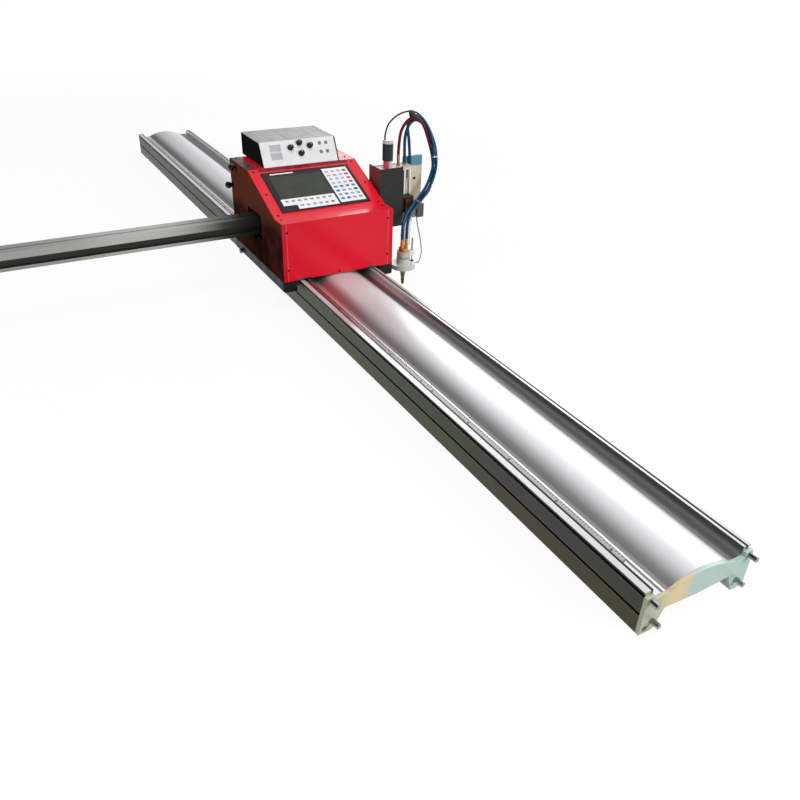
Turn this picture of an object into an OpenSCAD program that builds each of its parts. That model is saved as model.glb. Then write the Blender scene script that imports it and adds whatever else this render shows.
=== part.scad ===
// Portable rail-mounted CNC cutting machine.
// A motor carriage runs along an aluminium rail (Y). A cross beam slides through
// the carriage (X) and carries a torch lifter (Z) at its right-hand end.
// Origin: ground level, under the middle of the machine's outline.

/* [Rail] */
// Length of the rail over its two end plates
rail_len = 3500; // [3000:10:4200]
// Width of the rail over its guide bars
rail_w = 256; // [250:1:270]
// Height of the guide bars' running faces above the ground
rail_h = 92; // [90:1:96]
// Height of the rail floor beside the arch
floor_z = 75; // [73:0.5:76]
// Height of the flat underside between the legs
under_z = 38; // [34:1:40]
// Width of each foot
foot_w = 31; // [26:1:34]
// Half the width of the arched middle
arch_half = 78; // [74:1:80]
// Rise of the arch above the floor
arch_rise = 19; // [14:0.5:19.5]
// Wall thickness of the hollow extrusion
rail_wall = 5; // [4:0.5:6]
// Thickness of an end plate
plate_t = 8; // [6:1:10]
// Height of an end plate's outer shoulders
plate_top = 84; // [83:1:86]
// Radius of a joining pin
pin_r = 5.5; // [5:0.1:6]
// Free length of a joining pin
pin_out = 17; // [12:1:22]

/* [Guide bars and racks] */
// Width of a guide bar
bar_w = 19; // [18:0.5:20]
// Height of a guide bar
bar_h = 16; // [15.5:0.5:17]
// Depth of the side groove in a guide bar
groove_d = 4; // [3:0.5:5]
// Height of the side groove in a guide bar
groove_h = 8; // [7.5:0.5:9]
// Tooth module of the racks and pinions
tooth_module = 2.5; // [2.4:0.05:2.6]
// Number of teeth on a pinion
pinion_teeth = 12; // [12:1:13]
// Number of rack pieces along the rail
rack_pieces = 5; // [3:1:5]
// Number of teeth on one rail rack piece
rack_teeth = 83; // [70:1:84]
// Height of the rail rack
rack_h = 16; // [15:0.5:17]
// Face width of a pinion
pinion_w = 9; // [8:0.5:9.5]

/* [Carriage] */
// Distance from the rail's near end to the front cover
carriage_y = 1435; // [1435:5:1600]
// Width of a guide bracket beside the rail
bracket_w = 44; // [42:1:50]
// Depth of the carriage housing
box_d = 427; // [427:1:450]
// Height of the housing's lower edge above the ground
box_z = 97; // [97:1:100]
// Height of the front panel's upper edge above the ground
front_top_z = 274; // [268:1:280]
// Depth of the flat ledge above the front panel
ledge_d = 52; // [48:1:56]
// Height of the housing's top above the ground
top_z = 362; // [358:1:370]
// Depth of the housing's flat top
top_d = 162; // [160:1:170]
// Sheet thickness of the covers
sheet_t = 2; // [1.5:0.5:2.5]
// Thickness of the chassis plate
chassis_t = 8; // [7:0.5:9]
// Height of the black guide brackets under the chassis
skirt_h = 34; // [32:1:36]
// Radius of a load wheel
wheel_r = 24; // [22:0.5:25]
// Width of a load wheel
wheel_w = 13; // [11:0.5:14]
// Radius of a side guide roller
roller_r = 20; // [19:0.5:21]

/* [Control panel] */
// Width of the control unit's black panel
panel_w = 291; // [285:1:300]
// Height of the control unit's black panel, along the slope
panel_h = 184; // [180:1:188]
// Width of the screen
screen_w = 167; // [160:1:168]
// Height of the screen
screen_h = 102; // [96:1:103]
// Width of the height controller's case
thc_w = 254; // [240:1:280]
// Height of the height controller's case
thc_h = 68; // [64:1:72]
// Backward lean of the height controller's front
thc_lean = 36; // [30:1:40]
// Radius of a rotary knob
knob_r = 7.5; // [6.5:0.5:8]

/* [Beam] */
// Length of the cross beam between its end caps
beam_len = 2092; // [1900:4:2300]
// Depth of the beam's section
beam_d = 62; // [60:1:64]
// Height of the beam's section
beam_h = 52; // [50:1:54]
// Height of the beam's underside above the ground
beam_z = 185; // [183:1:187]
// Distance from the carriage's centre line to the beam's right end
beam_right = 393; // [390:1:400]
// Wall thickness of the beam
beam_wall = 4; // [3.5:0.5:4.5]
// Number of teeth on one beam rack piece
beam_rack_teeth = 66; // [60:1:68]
// Number of rack pieces along the beam
beam_rack_pieces = 4; // [3:1:4]

/* [Lifter] */
// Left edge of the lifter, from the rail's centre line
lifter_x = 199; // [197:1:203]
// Width of the lifter's cover
cover_w = 82; // [80:1:84]
// Height of the lifter's cover
cover_h = 190; // [186:1:194]
// Radius of the lift motor
motor_r = 17; // [16:0.5:18]
// Length of the lift motor
motor_len = 52; // [48:1:56]
// Radius of a guide rod
rod_r = 6; // [5:0.5:6.5]
// Radius of the lead screw
screw_r = 5; // [4:0.5:6]
// Height of the slide block
block_h = 50; // [46:1:54]
// Lift travel of the torch
lift_travel = 80; // [60:5:80]

/* [Torch] */
// Torch axis, distance from the rail's centre line
torch_x = 244; // [244:1:246]
// Radius of the torch barrel
barrel_r = 14; // [13:0.5:15]
// Height of the nozzle tip above the ground
tip_z = 3; // [2:0.5:6]
// Outer radius of the height sensor ring
ring_r = 40; // [38:1:46]
// Diameter of a gas hose
hose_d = 9.6; // [8:0.2:9.6]

/* [Hidden] */

// Fits and clearances
fit = 0.02;
run = 0.05;
seat_gap = 0.05;
fine = 96;

// Colours
alu = [0.80, 0.80, 0.82];
alu_bright = [0.90, 0.90, 0.93];
steel = [0.62, 0.63, 0.65];
dark_steel = [0.30, 0.31, 0.33];
red_paint = [0.80, 0.05, 0.10];
black = [0.07, 0.07, 0.08];
white = [0.92, 0.92, 0.92];
brass = [0.72, 0.52, 0.28];

// Rail, derived
half_w = rail_w / 2;
arch_r = (arch_half * arch_half + arch_rise * arch_rise) / (2 * arch_rise);
arch_cz = floor_z + arch_rise - arch_r;
seat_z = rail_h - bar_h;
bar_in = half_w - bar_w;
foot_in = half_w - foot_w;
slot_z = 42;
slot_mouth = 6;
slot_wide = 10;
slot_lip = 3;
slot_deep = 8;
pin_shank = pin_r - 1;
top_pin = [half_w - 9, seat_z + 1];
low_pin = [half_w - 25, 24];
foot_hole = [half_w - 11, 10];
foot_hole_r = 6.5;
foot_hole_deep = 5;
groove_z = rail_h - 4 - groove_h;

// Racks, derived
tooth_pitch = PI * tooth_module;
pressure = 20;
shift = 0.35;
pinion_pr = tooth_module * pinion_teeth / 2;
mesh_r = pinion_pr + shift * tooth_module;
addendum = tooth_module;
dedendum = 1.25 * tooth_module;
rack_back = -bar_in + 0.5;
rack_body = 6;
rack_line = rack_back + rack_body + dedendum;
rack_seam = 0.1;

// Carriage, derived
skirt_x = half_w + 12;
skirt_out = skirt_x + bracket_w;
box_half = skirt_out - 1;
chassis_half = box_half - 5;
inner_half = box_half - sheet_t;
back_y = carriage_y + box_d;
ledge_y = carriage_y + ledge_d;
top_y = back_y - top_d;
slope_run = top_y - ledge_y;
slope_rise = top_z - front_top_z;
slope_a = atan2(slope_rise, slope_run);
slope_len = norm([slope_run, slope_rise]);
bend_in = sheet_t * tan(slope_a / 2);
deck_z = box_z + chassis_t;
wheel_x = half_w - bar_w / 2;
wheel_z = rail_h + wheel_r + seat_gap;
wheel_ys = [carriage_y + 40, back_y - 40];
axle_r = 5;
axle_block_x = wheel_x - wheel_w / 2 - 8;
roller_x = half_w - groove_d + roller_r + run;
roller_w = groove_h - 1;
roller_z = groove_z + groove_h / 2;
roller_ys = [carriage_y + 60, back_y - 50];
bolt_r = 4;
skirt_z = box_z - skirt_h;
drive_x = rack_line + mesh_r;
drive_y = carriage_y + 105;
rail_pinion_z = floor_z + rack_h - pinion_w;
rack_before = floor((drive_y - 86) / tooth_pitch);
rack_y0 = drive_y - rack_before * tooth_pitch;
motor_w = 57;
drive_motor_h = 74;
shaft_r = 4;
notch_in = bar_in - 12;
notch_out = half_w + 5;
notch_h = 5;

// Control unit, derived
panel_s = 25.6;
panel_x = -148;
panel_t = 3;
unit_lip = 6;
unit_deep = 36;
unit_gap = 0.1;
screen_x = -128;
screen_s = 48;
keys_x = 46;
keys_w = 85;
keys_s = 38;
keys_h = 162;
strip_x = -134;
strip_w = 173;
strip_s = 155.5;
strip_h = 49;
strip_notch_w = 42;
strip_notch_h = 20;
skin_t = 0.8;
key_t = 0.7;

// Height controller, derived
thc_x = 1.2 - thc_w / 2;
thc_y = top_y + 2;
thc_back = back_y + 38;
thc_wall = 2;
thc_a = atan2(thc_h, thc_lean);
thc_face = norm([thc_lean, thc_h]);
thc_panel_t = 2.5;
thc_margin = 2;
knob_spots = [[-28, 53], [3, 65], [37, 54], [4, 33]];
knob_h = 13;
knob_shaft_r = 3;
window_spots = [[-95, 47], [-95, 22]];
lamp_spots = [[72, 59], [94, 59], [72, 32], [94, 32]];

// Clutch knobs, as Y and Z places on the left side plate
clutch_spots = [[back_y - 57, top_z - 15], [back_y - 12, top_z - 82]];
clutch_r = 11;
clutch_stem_r = 4;
clutch_out = 25;

// Beam, derived
beam_y = back_y - 234;
beam_back = beam_y + beam_d;
beam_top = beam_z + beam_h;
beam_left = beam_right - beam_len;
cap_t = 4;
band_z = beam_z + 10;
band_h = 17;
band_d = 8;
rear_groove_d = 12;
top_slot_w = 6;
top_slot_d = 7;
guide_x = [box_half - 47, box_half - 15];
guide_wall = 12;
beam_run = 0.15;
beam_rack_body = 5;
beam_rack_h = 12;
beam_rack_line = beam_back - rear_groove_d + beam_rack_body + dedendum;
beam_pinion_x = -20;
beam_pinion_y = beam_rack_line + mesh_r;
beam_pinion_z = band_z + 4;
beam_rack_before = floor((beam_pinion_x - beam_left - 20) / tooth_pitch);
beam_rack_x0 = beam_pinion_x - beam_rack_before * tooth_pitch;
beam_motor_z = beam_top + 15;
beam_motor_h = 55;
shelf_t = 6;

// Lifter, derived
cover_x = lifter_x + cover_w;
cover_t = 1.5;
cover_z = beam_z - 14;
lifter_front = beam_y - 77;
base_t = 12;
base_y = beam_y - base_t;
base_right = lifter_x + 189;
base_z = beam_z - 18;
deck_h = 8;
low_deck_z = beam_z - 13;
high_deck_z = beam_z + 160;
base_top = high_deck_z + deck_h + 20;
screw_x = lifter_x + 43.5;
screw_y = lifter_front + 35;
rod_xs = [lifter_x + 105, lifter_x + 125];
rod_deck_y = screw_y - 16;
deck_right = lifter_x + 132;
block_x = screw_x - 20;
block_right = lifter_x + 133;
block_z = beam_z + 24;
block_y = screw_y - 20;
block_d = 32;
lug = [lifter_x + 160, lifter_x + 184];
lug_y = block_y + 18;
lug_z = [beam_z - 8, beam_z + 37];
gear_h = 25;
cap_h = 11;
motor_cap_r = motor_r - 1;

// Torch, derived
torch_y = beam_y - 157;
arm_x = lifter_x + 97;
arm_w = 22;
arm_t = 10;
arm_z = 98;
arm_h = 18;
clamp_r = barrel_r + 7;
ring_z = 62;
ring_t = 14;
hub_r = 22;
hub_h = 18;
stay_x = clamp_r + 11;
stay_r = 2.5;
barrel_z = 58;
head_z = 118;
head_r = barrel_r + 2;
fitting_z = head_z + 10;
fitting_top = 158;
fitting_r = 6;
torch_ports = [[-8, -4], [8, -4], [0, 11]];
port_spots = [[289, base_y - 16, 388], [312, base_y - 16, 361], [337, base_y - 8, 349]];
hose_shift = [lifter_x - 199, base_y - 1616, beam_z - 185];

// Hose and cable routes, in the rail's own frame, with one ring at each point
red_route = [
    [289, 1600, 388], [289, 1600, 400], [294, 1599, 451], [309, 1597, 482], [331, 1594, 497],
    [354, 1592, 493], [376, 1594, 469], [397, 1597, 424], [412, 1595, 377], [414, 1589, 338],
    [405, 1577, 303], [385, 1562, 272], [356, 1556, 248], [321, 1546, 229], [286, 1522, 214],
    [256, 1494, 197], [244, 1482, 170], [244, 1482, 158]
];
blue_left_route = [
    [312, 1600, 361], [312, 1600, 373], [310, 1598, 433], [317, 1596, 467], [334, 1598, 486],
    [357, 1604, 487], [381, 1606, 471], [403, 1603, 436], [419, 1594, 393], [422, 1583, 355],
    [410, 1571, 319], [384, 1557, 284], [350, 1545, 251], [318, 1532, 231], [285, 1506, 216],
    [262, 1481, 200], [252, 1467, 170], [252, 1467, 158]
];
blue_right_route = [
    [337, 1608, 349], [337, 1608, 361], [331, 1607, 421], [325, 1608, 469], [334, 1608, 493],
    [353, 1604, 501], [376, 1599, 488], [396, 1593, 455], [410, 1587, 408], [411, 1582, 362],
    [401, 1577, 321], [379, 1567, 286], [345, 1554, 256], [307, 1536, 235], [271, 1508, 219],
    [246, 1482, 201], [236, 1467, 170], [236, 1467, 158]
];
cable_route = [
    [232, 1586, 441], [232, 1586, 455], [245, 1591, 484], [272, 1597, 504], [306, 1604, 514],
    [339, 1609, 514], [368, 1612, 502], [395, 1611, 475], [417, 1610, 439], [432, 1607, 399],
    [438, 1604, 357], [433, 1600, 317], [416, 1595, 280], [385, 1591, 252], [371, 1591, 234],
    [371, 1591, 222]
];
wire_route = [
    [362, 1591, 177], [362, 1591, 166], [363, 1583, 142], [361, 1566, 118], [352, 1541, 96],
    [338, 1514, 81], [320, 1491, 72], [302, 1471, 69], [284, 1471, 69]
];
cable_d = 5;
wire_d = 3.6;

// Frame offsets: the machine's outline is centred on the origin
mid_x = (beam_left - cap_t + beam_right + cap_t) / 2;
mid_y = (rail_len - pin_out) / 2;

// Moves a piece from the rail's frame to the machine's frame
module placed() {
    translate([-mid_x, -mid_y, 0]) children();
}

// Extrudes a drawing of X and Z along Y
module along_y(y0, len) {
    translate([0, y0 + len, 0]) rotate([90, 0, 0]) linear_extrude(len) children();
}

// Extrudes a drawing of Y and Z along X
module along_x(x0, len) {
    translate([x0, 0, 0]) rotate([90, 0, 90]) linear_extrude(len) children();
}

// Both sides of the rail's centre plane
module both_sides() {
    children();
    mirror([1, 0, 0]) children();
}

// A box given by its lowest corner and its highest corner
module block(low, high) {
    translate(low) cube(high - low);
}

// A cylinder along X
module rod_x(x0, len, r, y, z) {
    translate([x0, y, z]) rotate([0, 90, 0]) cylinder(h = len, r = r, $fn = fine);
}

// A cylinder along Y
module rod_y(y0, len, r, x, z) {
    translate([x, y0 + len, z]) rotate([90, 0, 0]) cylinder(h = len, r = r, $fn = fine);
}

// A cylinder along Z
module rod_z(z0, len, r, x, y) {
    translate([x, y, z0]) cylinder(h = len, r = r, $fn = fine);
}

// Places children on the housing's slope: X across, Y up the slope, Z outward.
// The drawing starts at the slope's upper edge.
module on_slope() {
    translate([0, top_y, top_z]) rotate([slope_a, 0, 0]) children();
}

// Places children on the height controller's leaning front
module on_thc() {
    translate([0, thc_y, top_z]) rotate([thc_a, 0, 0]) children();
}

// Rail

// Corners of the rail's right half, up to the height given for its shoulder
function half_outline(shoulder_z, skin) = [
    [arch_half, under_z + 4], [foot_in, 0], [half_w, 0], [half_w, shoulder_z],
    [bar_in, shoulder_z], [bar_in, floor_z - skin]
];

module arch_area(r, low) {
    intersection() {
        translate([0, arch_cz]) circle(r = r, $fn = 180);
        translate([-arch_half - 20, low]) square([2 * arch_half + 40, rail_h]);
    }
}

// Outline of the rail in X and Z, without its chambers
module rail_outline(shoulder_z, skin) {
    right = half_outline(shoulder_z, skin);
    last = len(right) - 1;
    polygon(concat([[0, under_z]], right, [for (i = [last : -1 : 0]) [-right[i][0], right[i][1]]]));
    arch_area(arch_r - skin, floor_z - skin - 1);
}

// Hollow chambers under the arch and in the legs
module rail_chambers() {
    web = rail_wall / 2;
    third = arch_half / 3;
    low = under_z + 4 + rail_wall;
    for (x = [-2, 0, 2])
        intersection() {
            arch_area(arch_r - rail_wall, low);
            translate([x * third - third + web, low]) square([2 * third - rail_wall, rail_h]);
        }
    both_sides() {
        lean = (foot_in - arch_half) / (under_z + 4);
        inset = rail_wall * norm([1, lean]);
        low_top = slot_z - slot_wide / 2 - 4;
        high_low = slot_z + slot_wide / 2 + 4;
        polygon([
            [foot_in - lean * rail_wall + inset, rail_wall], [half_w - rail_wall, rail_wall],
            [half_w - rail_wall, low_top], [foot_in - lean * low_top + inset, low_top]
        ]);
        polygon([
            [arch_half + rail_wall, high_low], [half_w - rail_wall, high_low],
            [half_w - rail_wall, floor_z - rail_wall], [arch_half + rail_wall, floor_z - rail_wall]
        ]);
    }
}

// Undercut slot along each outer side
module side_slots() {
    both_sides() {
        translate([half_w - slot_lip, slot_z - slot_mouth / 2]) square([slot_lip + 1, slot_mouth]);
        translate([half_w - slot_deep, slot_z - slot_wide / 2])
            square([slot_deep - slot_lip, slot_wide]);
    }
}

// Holes behind the far end plate, for the pins of the next rail
module socket_holes(y0, len) {
    both_sides() for (p = [top_pin, low_pin]) rod_y(y0, len, pin_r + 0.7, p[0], p[1]);
}

module rail() {
    color(alu) placed() difference() {
        along_y(plate_t, rail_len - 2 * plate_t) difference() {
            rail_outline(seat_z, 0);
            rail_chambers();
            side_slots();
        }
        socket_holes(rail_len - pin_out - 3, pin_out);
    }
}

// Ground steel bars on the rail's shoulders, grooved for the side rollers
module guide_bars() {
    color(alu_bright) placed() difference() {
        along_y(plate_t, rail_len - 2 * plate_t) both_sides() difference() {
            translate([bar_in, seat_z]) square([bar_w, bar_h]);
            translate([half_w - groove_d, groove_z]) square([groove_d + 1, groove_h]);
        }
        socket_holes(rail_len - pin_out - 3, pin_out);
    }
}

// Tooth points of a rack: X is the height over its back, Y runs along it
function rack_tooth(y, line) =
    let (tip = tooth_pitch / 4 - addendum * tan(pressure),
         root = tooth_pitch / 4 + dedendum * tan(pressure))
    [[line - dedendum, y - root], [line + addendum, y - tip],
     [line + addendum, y + tip], [line - dedendum, y + root]];

module rack_bar(teeth, body, h) {
    line = body + dedendum;
    low = rack_seam - tooth_pitch / 2;
    high = (teeth - 0.5) * tooth_pitch;
    linear_extrude(h) polygon(concat(
        [[0, low], [body, low]],
        [for (i = [0 : teeth - 1], p = rack_tooth(i * tooth_pitch, line)) p],
        [[body, high], [0, high]]
    ));
}

module rail_rack() {
    color(steel) placed() for (i = [0 : rack_pieces - 1])
        translate([rack_back, rack_y0 + i * rack_teeth * tooth_pitch, floor_z])
            rack_bar(rack_teeth, rack_body, rack_h);
}

module end_plate(bores) {
    difference() {
        rail_outline(plate_top, 0.5);
        both_sides() {
            translate(top_pin) circle(r = bores, $fn = fine);
            translate(low_pin) circle(r = bores, $fn = fine);
        }
    }
}

// Blind holes for the screws at the foot of an end plate
module foot_holes(y0) {
    both_sides() rod_y(y0, foot_hole_deep + 1, foot_hole_r, foot_hole[0], foot_hole[1]);
}

module near_end_plate() {
    color(alu) placed() difference() {
        along_y(0, plate_t) difference() {
            end_plate(pin_shank + fit);
        }
        foot_holes(-1);
    }
}

module far_end_plate() {
    color(alu) placed() difference() {
        along_y(rail_len - plate_t, plate_t) end_plate(pin_r + 2 * run);
        foot_holes(rail_len - foot_hole_deep);
    }
}

// Pin with a thinner shank that is fixed in the plate, in one profile
module joining_pins() {
    chamfer = 1;
    tip = plate_t + pin_out;
    color(steel) placed() both_sides() for (p = [top_pin, low_pin])
        translate([p[0], plate_t, p[1]]) rotate([90, 0, 0]) rotate_extrude($fn = fine) polygon([
            [0, 0], [pin_shank, 0], [pin_shank, plate_t], [pin_r, plate_t],
            [pin_r, tip - chamfer], [pin_r - chamfer, tip], [0, tip]
        ]);
}

// Carriage

module wheel_slots() {
    for (y = wheel_ys)
        block([wheel_x - wheel_w / 2 - 2, y - wheel_r - 3, box_z - 1],
              [wheel_x + wheel_w / 2 + 2, y + wheel_r + 3, deck_z + 1]);
}

// Deck plate with the welded shelf that holds the beam's motor
module chassis() {
    shelf_z = beam_motor_z - shelf_t;
    shelf_half = motor_w / 2 + 4;
    post_y = beam_pinion_y + motor_w / 2 + 2;
    color(dark_steel) placed() difference() {
        union() {
            block([-chassis_half, carriage_y + sheet_t, box_z],
                  [chassis_half, back_y - sheet_t, deck_z]);
            block([beam_pinion_x - shelf_half, post_y, deck_z],
                  [beam_pinion_x + shelf_half, post_y + shelf_t, beam_motor_z]);
            block([beam_pinion_x - shelf_half, beam_pinion_y - motor_w / 2, shelf_z],
                  [beam_pinion_x + shelf_half, post_y + 1, beam_motor_z]);
        }
        both_sides() wheel_slots();
        rod_z(box_z - 1, chassis_t + 2, shaft_r + 6, drive_x, drive_y);
        rod_z(shelf_z - 1, shelf_t + 2, shaft_r + 6, beam_pinion_x, beam_pinion_y);
        both_sides() for (y = roller_ys)
            rod_z(box_z - 1, chassis_t + 2, bolt_r + fit, roller_x, y);
    }
}

// Black bars beside the rail that hold the guide rollers in pockets
module guide_brackets() {
    pocket_r = roller_r + 1.5;
    color(black) placed() both_sides() difference() {
        block([skirt_x, carriage_y + sheet_t, skirt_z], [skirt_out, back_y - sheet_t, box_z]);
        for (y = roller_ys) {
            rod_z(roller_z - roller_w / 2 - 1, roller_w + 2, pocket_r, roller_x, y);
            rod_z(skirt_z - 1, skirt_h + 2, bolt_r + fit, roller_x, y);
        }
        translate([skirt_out, 0, skirt_z]) rotate([0, 45, 0])
            cube([6, 3 * back_y, 6], center = true);
    }
}

// Axle with its head for one load wheel, and the block that carries it
module wheel_axle(y) {
    block_h0 = wheel_z + 12;
    difference() {
        block([axle_block_x, y - 12, deck_z], [axle_block_x + 7, y + 12, block_h0]);
        rod_x(axle_block_x - 1, 9, axle_r + fit, y, wheel_z);
    }
    rod_x(axle_block_x - 1, wheel_w + 16, axle_r, y, wheel_z);
    rod_x(wheel_x + wheel_w / 2 + 0.5, 3.5, axle_r + 3, y, wheel_z);
}

// Vertical bolt that carries one guide roller
module roller_bolt(y) {
    nut = 6;
    rod_z(skirt_z - nut, box_z + chassis_t - skirt_z + nut, bolt_r, roller_x, y);
    rod_z(skirt_z - nut, nut, bolt_r + 4, roller_x, y);
    rod_z(deck_z, 5, bolt_r + 3, roller_x, y);
}

module axles() {
    color(dark_steel) placed() {
        both_sides() {
            for (y = wheel_ys) wheel_axle(y);
            for (y = roller_ys) roller_bolt(y);
        }
        rod_x(-skirt_out - 9, 9, 8, back_y - 62, skirt_z + 10);
    }
}

// Points of the housing's side, in Y and Z, drawn in by a margin
function side_points(m) = [
    [carriage_y + m, box_z], [carriage_y + m, front_top_z - m],
    [ledge_y + m * tan(slope_a / 2), front_top_z - m],
    [top_y + m * tan(slope_a / 2), top_z - m], [back_y - m, top_z - m], [back_y - m, box_z]
];

module side_plate() {
    open_low = beam_z - 12;
    open_high = beam_top + 12;
    difference() {
        along_x(inner_half, sheet_t) polygon(side_points(0));
        block([inner_half - 1, beam_y - 28, open_low], [box_half + 1, beam_back + 26, open_high]);
    }
}

module right_side_plate() {
    color(red_paint) placed() side_plate();
}

module left_side_plate() {
    color([0.30, 0.10, 0.10]) placed() difference() {
        mirror([1, 0, 0]) side_plate();
        for (c = clutch_spots) rod_x(-box_half - 1, sheet_t + 2, clutch_stem_r + run, c[0], c[1]);
    }
}

// Folded sheet: front panel, ledge and slope, with the window for the control unit
module front_cover() {
    outer = side_points(0);
    inner = side_points(sheet_t);
    color(red_paint) placed() difference() {
        along_x(-inner_half, 2 * inner_half) polygon([
            outer[0], outer[1], outer[2], outer[3], inner[3], inner[2], inner[1], inner[0]
        ]);
        on_slope() translate([panel_x + unit_lip, -panel_s - panel_h + unit_lip, -20])
            cube([panel_w - 2 * unit_lip, panel_h - 2 * unit_lip, 40]);
        both_sides() block([notch_in, carriage_y - 1, box_z - 1],
                           [notch_out, carriage_y + sheet_t + 1, box_z + notch_h]);
    }
}

module top_cover() {
    color(red_paint) placed()
        block([-inner_half, top_y + bend_in, top_z - sheet_t], [inner_half, back_y, top_z]);
}

module rear_cover() {
    vent_w = 70;
    vent_pitch = 10;
    color(red_paint) placed() difference() {
        block([-inner_half, back_y - sheet_t, box_z], [inner_half, back_y, top_z - sheet_t]);
        for (x = [-90, 90], i = [0 : 6])
            block([x - vent_w / 2, back_y - sheet_t - 1, 190 + i * vent_pitch],
                  [x + vent_w / 2, back_y + 1, 194 + i * vent_pitch]);
    }
}

// Low round heads of the cover screws
module screw_head(r, h) {
    cylinder(h = h, r1 = r, r2 = r * 0.75, $fn = 24);
}

module cover_screws() {
    r = 3.2;
    h = 2;
    edge = box_half - 18;
    color(black) placed() {
        for (x = [-edge, edge], z = [132, 247])
            translate([x, carriage_y, z]) rotate([90, 0, 0]) screw_head(r, h);
        translate([0, carriage_y, box_z + 7]) rotate([90, 0, 0]) screw_head(r, h);
        on_slope() for (x = [-edge, edge], s = [12, 120, 217])
            translate([x, -s, 0]) screw_head(r, h);
        for (x = [-edge, edge]) {
            translate([x, ledge_y - 13, front_top_z]) screw_head(r, h);
            for (y = [top_y + 38, back_y - 12]) translate([x, y, top_z]) screw_head(r, h);
        }
        both_sides() for (y = [carriage_y + 20, back_y - 20], z = [120, 240])
            translate([box_half, y, z]) rotate([0, 90, 0]) screw_head(r, h);
    }
}

// Control unit with its screen and keypads

module control_unit() {
    x1 = panel_x + unit_lip + unit_gap;
    w1 = panel_w - 2 * unit_lip - 2 * unit_gap;
    s1 = panel_s + unit_lip + unit_gap;
    h1 = panel_h - 2 * unit_lip - 2 * unit_gap;
    color(black) placed() on_slope() difference() {
        union() {
            translate([panel_x, -panel_s - panel_h, 0]) cube([panel_w, panel_h, panel_t]);
            translate([x1, -s1 - h1, -unit_deep]) cube([w1, h1, unit_deep + 1]);
        }
        translate([screen_x, -screen_s - screen_h, panel_t - 1.5])
            cube([screen_w, screen_h, 2]);
    }
}

module screen() {
    color([0.16, 0.19, 0.17]) placed() on_slope()
        translate([screen_x + fit, -screen_s - screen_h + fit, panel_t - 1.5])
            cube([screen_w - 2 * fit, screen_h - 2 * fit, 1]);
}

// Two white keypad skins: a tall one at the right and a low stepped one
module keypad() {
    color(white) placed() on_slope() translate([0, 0, panel_t]) linear_extrude(skin_t) {
        translate([keys_x, -keys_s - keys_h]) square([keys_w, keys_h]);
        difference() {
            translate([strip_x, -strip_s - strip_h]) square([strip_w, strip_h]);
            translate([strip_x - 1, -strip_s - strip_h - 1])
                square([strip_notch_w + 1, strip_notch_h + 1]);
        }
    }
}

module key(x, s, w, h) {
    translate([x - w / 2, -s - h / 2, 0]) linear_extrude(key_t) square([w, h]);
}

module panel_keys() {
    cols = 4;
    rows = 8;
    dx = 20;
    ds = 18.6;
    low_dx = 20;
    color([0.65, 0.70, 0.78]) placed() on_slope() translate([0, 0, panel_t + skin_t]) {
        for (c = [0 : cols - 1], r = [0 : rows - 1])
            key(keys_x + 12.5 + c * dx, keys_s + 16 + r * ds, 12, 9);
        for (c = [0 : 7]) key(strip_x + 16 + c * low_dx, strip_s + 12, 11, 8);
        for (c = [2 : 7]) key(strip_x + 16 + c * low_dx, strip_s + 35, 11, 8);
    }
}

// Height controller

function thc_points(m) = [
    [thc_y + m * 1.13, top_z + m], [thc_y + thc_lean * (1 - m / thc_h) + m * 1.13, top_z + thc_h - m],
    [thc_back - m, top_z + thc_h - m], [thc_back - m, top_z + m]
];

// Black tray: floor, sides and rear wall
module thc_case() {
    color(black) placed() difference() {
        along_x(thc_x, thc_w) polygon([
            [thc_y, top_z], [thc_y + thc_lean, top_z + thc_h - thc_wall],
            [thc_back, top_z + thc_h - thc_wall], [thc_back, top_z]
        ]);
        along_x(thc_x + thc_wall, thc_w - 2 * thc_wall) polygon([
            [thc_y - 10, top_z + thc_wall], [thc_y + thc_lean - 10, top_z + thc_h + 1],
            [thc_back - thc_wall, top_z + thc_h + 1], [thc_back - thc_wall, top_z + thc_wall]
        ]);
        for (i = [0 : 5])
            block([thc_x - 1, thc_back - 50 + i * 7, top_z + 24],
                  [thc_x + thc_wall + 1, thc_back - 47 + i * 7, top_z + 52]);
    }
}

// Grey lid sheet, resting on the tray's walls
module thc_lid() {
    color([0.55, 0.55, 0.53]) placed()
        block([thc_x, thc_y + thc_lean, top_z + thc_h - thc_wall],
              [thc_x + thc_w, thc_back, top_z + thc_h]);
}

module thc_front_panel() {
    color(white) placed() on_thc() difference() {
        translate([thc_x, 0, 0]) cube([thc_w, thc_face, thc_panel_t]);
        for (k = knob_spots) translate([k[0], k[1], -1])
            cylinder(h = thc_panel_t + 2, r = knob_shaft_r + run, $fn = fine);
    }
}

// Two display windows and four indicator squares
module thc_windows() {
    color([0.60, 0.61, 0.62]) placed() on_thc() translate([0, 0, thc_panel_t]) {
        for (w = window_spots) translate([w[0], w[1], 0]) cube([34, 18, 0.8]);
        for (l = lamp_spots) translate([l[0] - 5, l[1] - 5, 0]) cube([10, 10, 1]);
    }
}

// Fluted pointer knob on its shaft
module thc_knob(i) {
    flutes = 12;
    lift = 0.4;
    color(black) placed() on_thc()
        translate([knob_spots[i][0], knob_spots[i][1], 0]) {
            translate([0, 0, -6]) cylinder(h = 10, r = knob_shaft_r, $fn = fine);
            translate([0, 0, thc_panel_t + lift]) {
                cylinder(h = 3, r = knob_r + 1.5, $fn = fine);
                translate([0, 0, 1]) difference() {
                    cylinder(h = knob_h - 1, r = knob_r, $fn = fine);
                    for (a = [0 : 360 / flutes : 359]) rotate([0, 0, a])
                        translate([knob_r + 0.7, 0, -1]) cylinder(h = knob_h + 1, r = 1.3, $fn = 24);
                }
            }
        }
}

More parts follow.
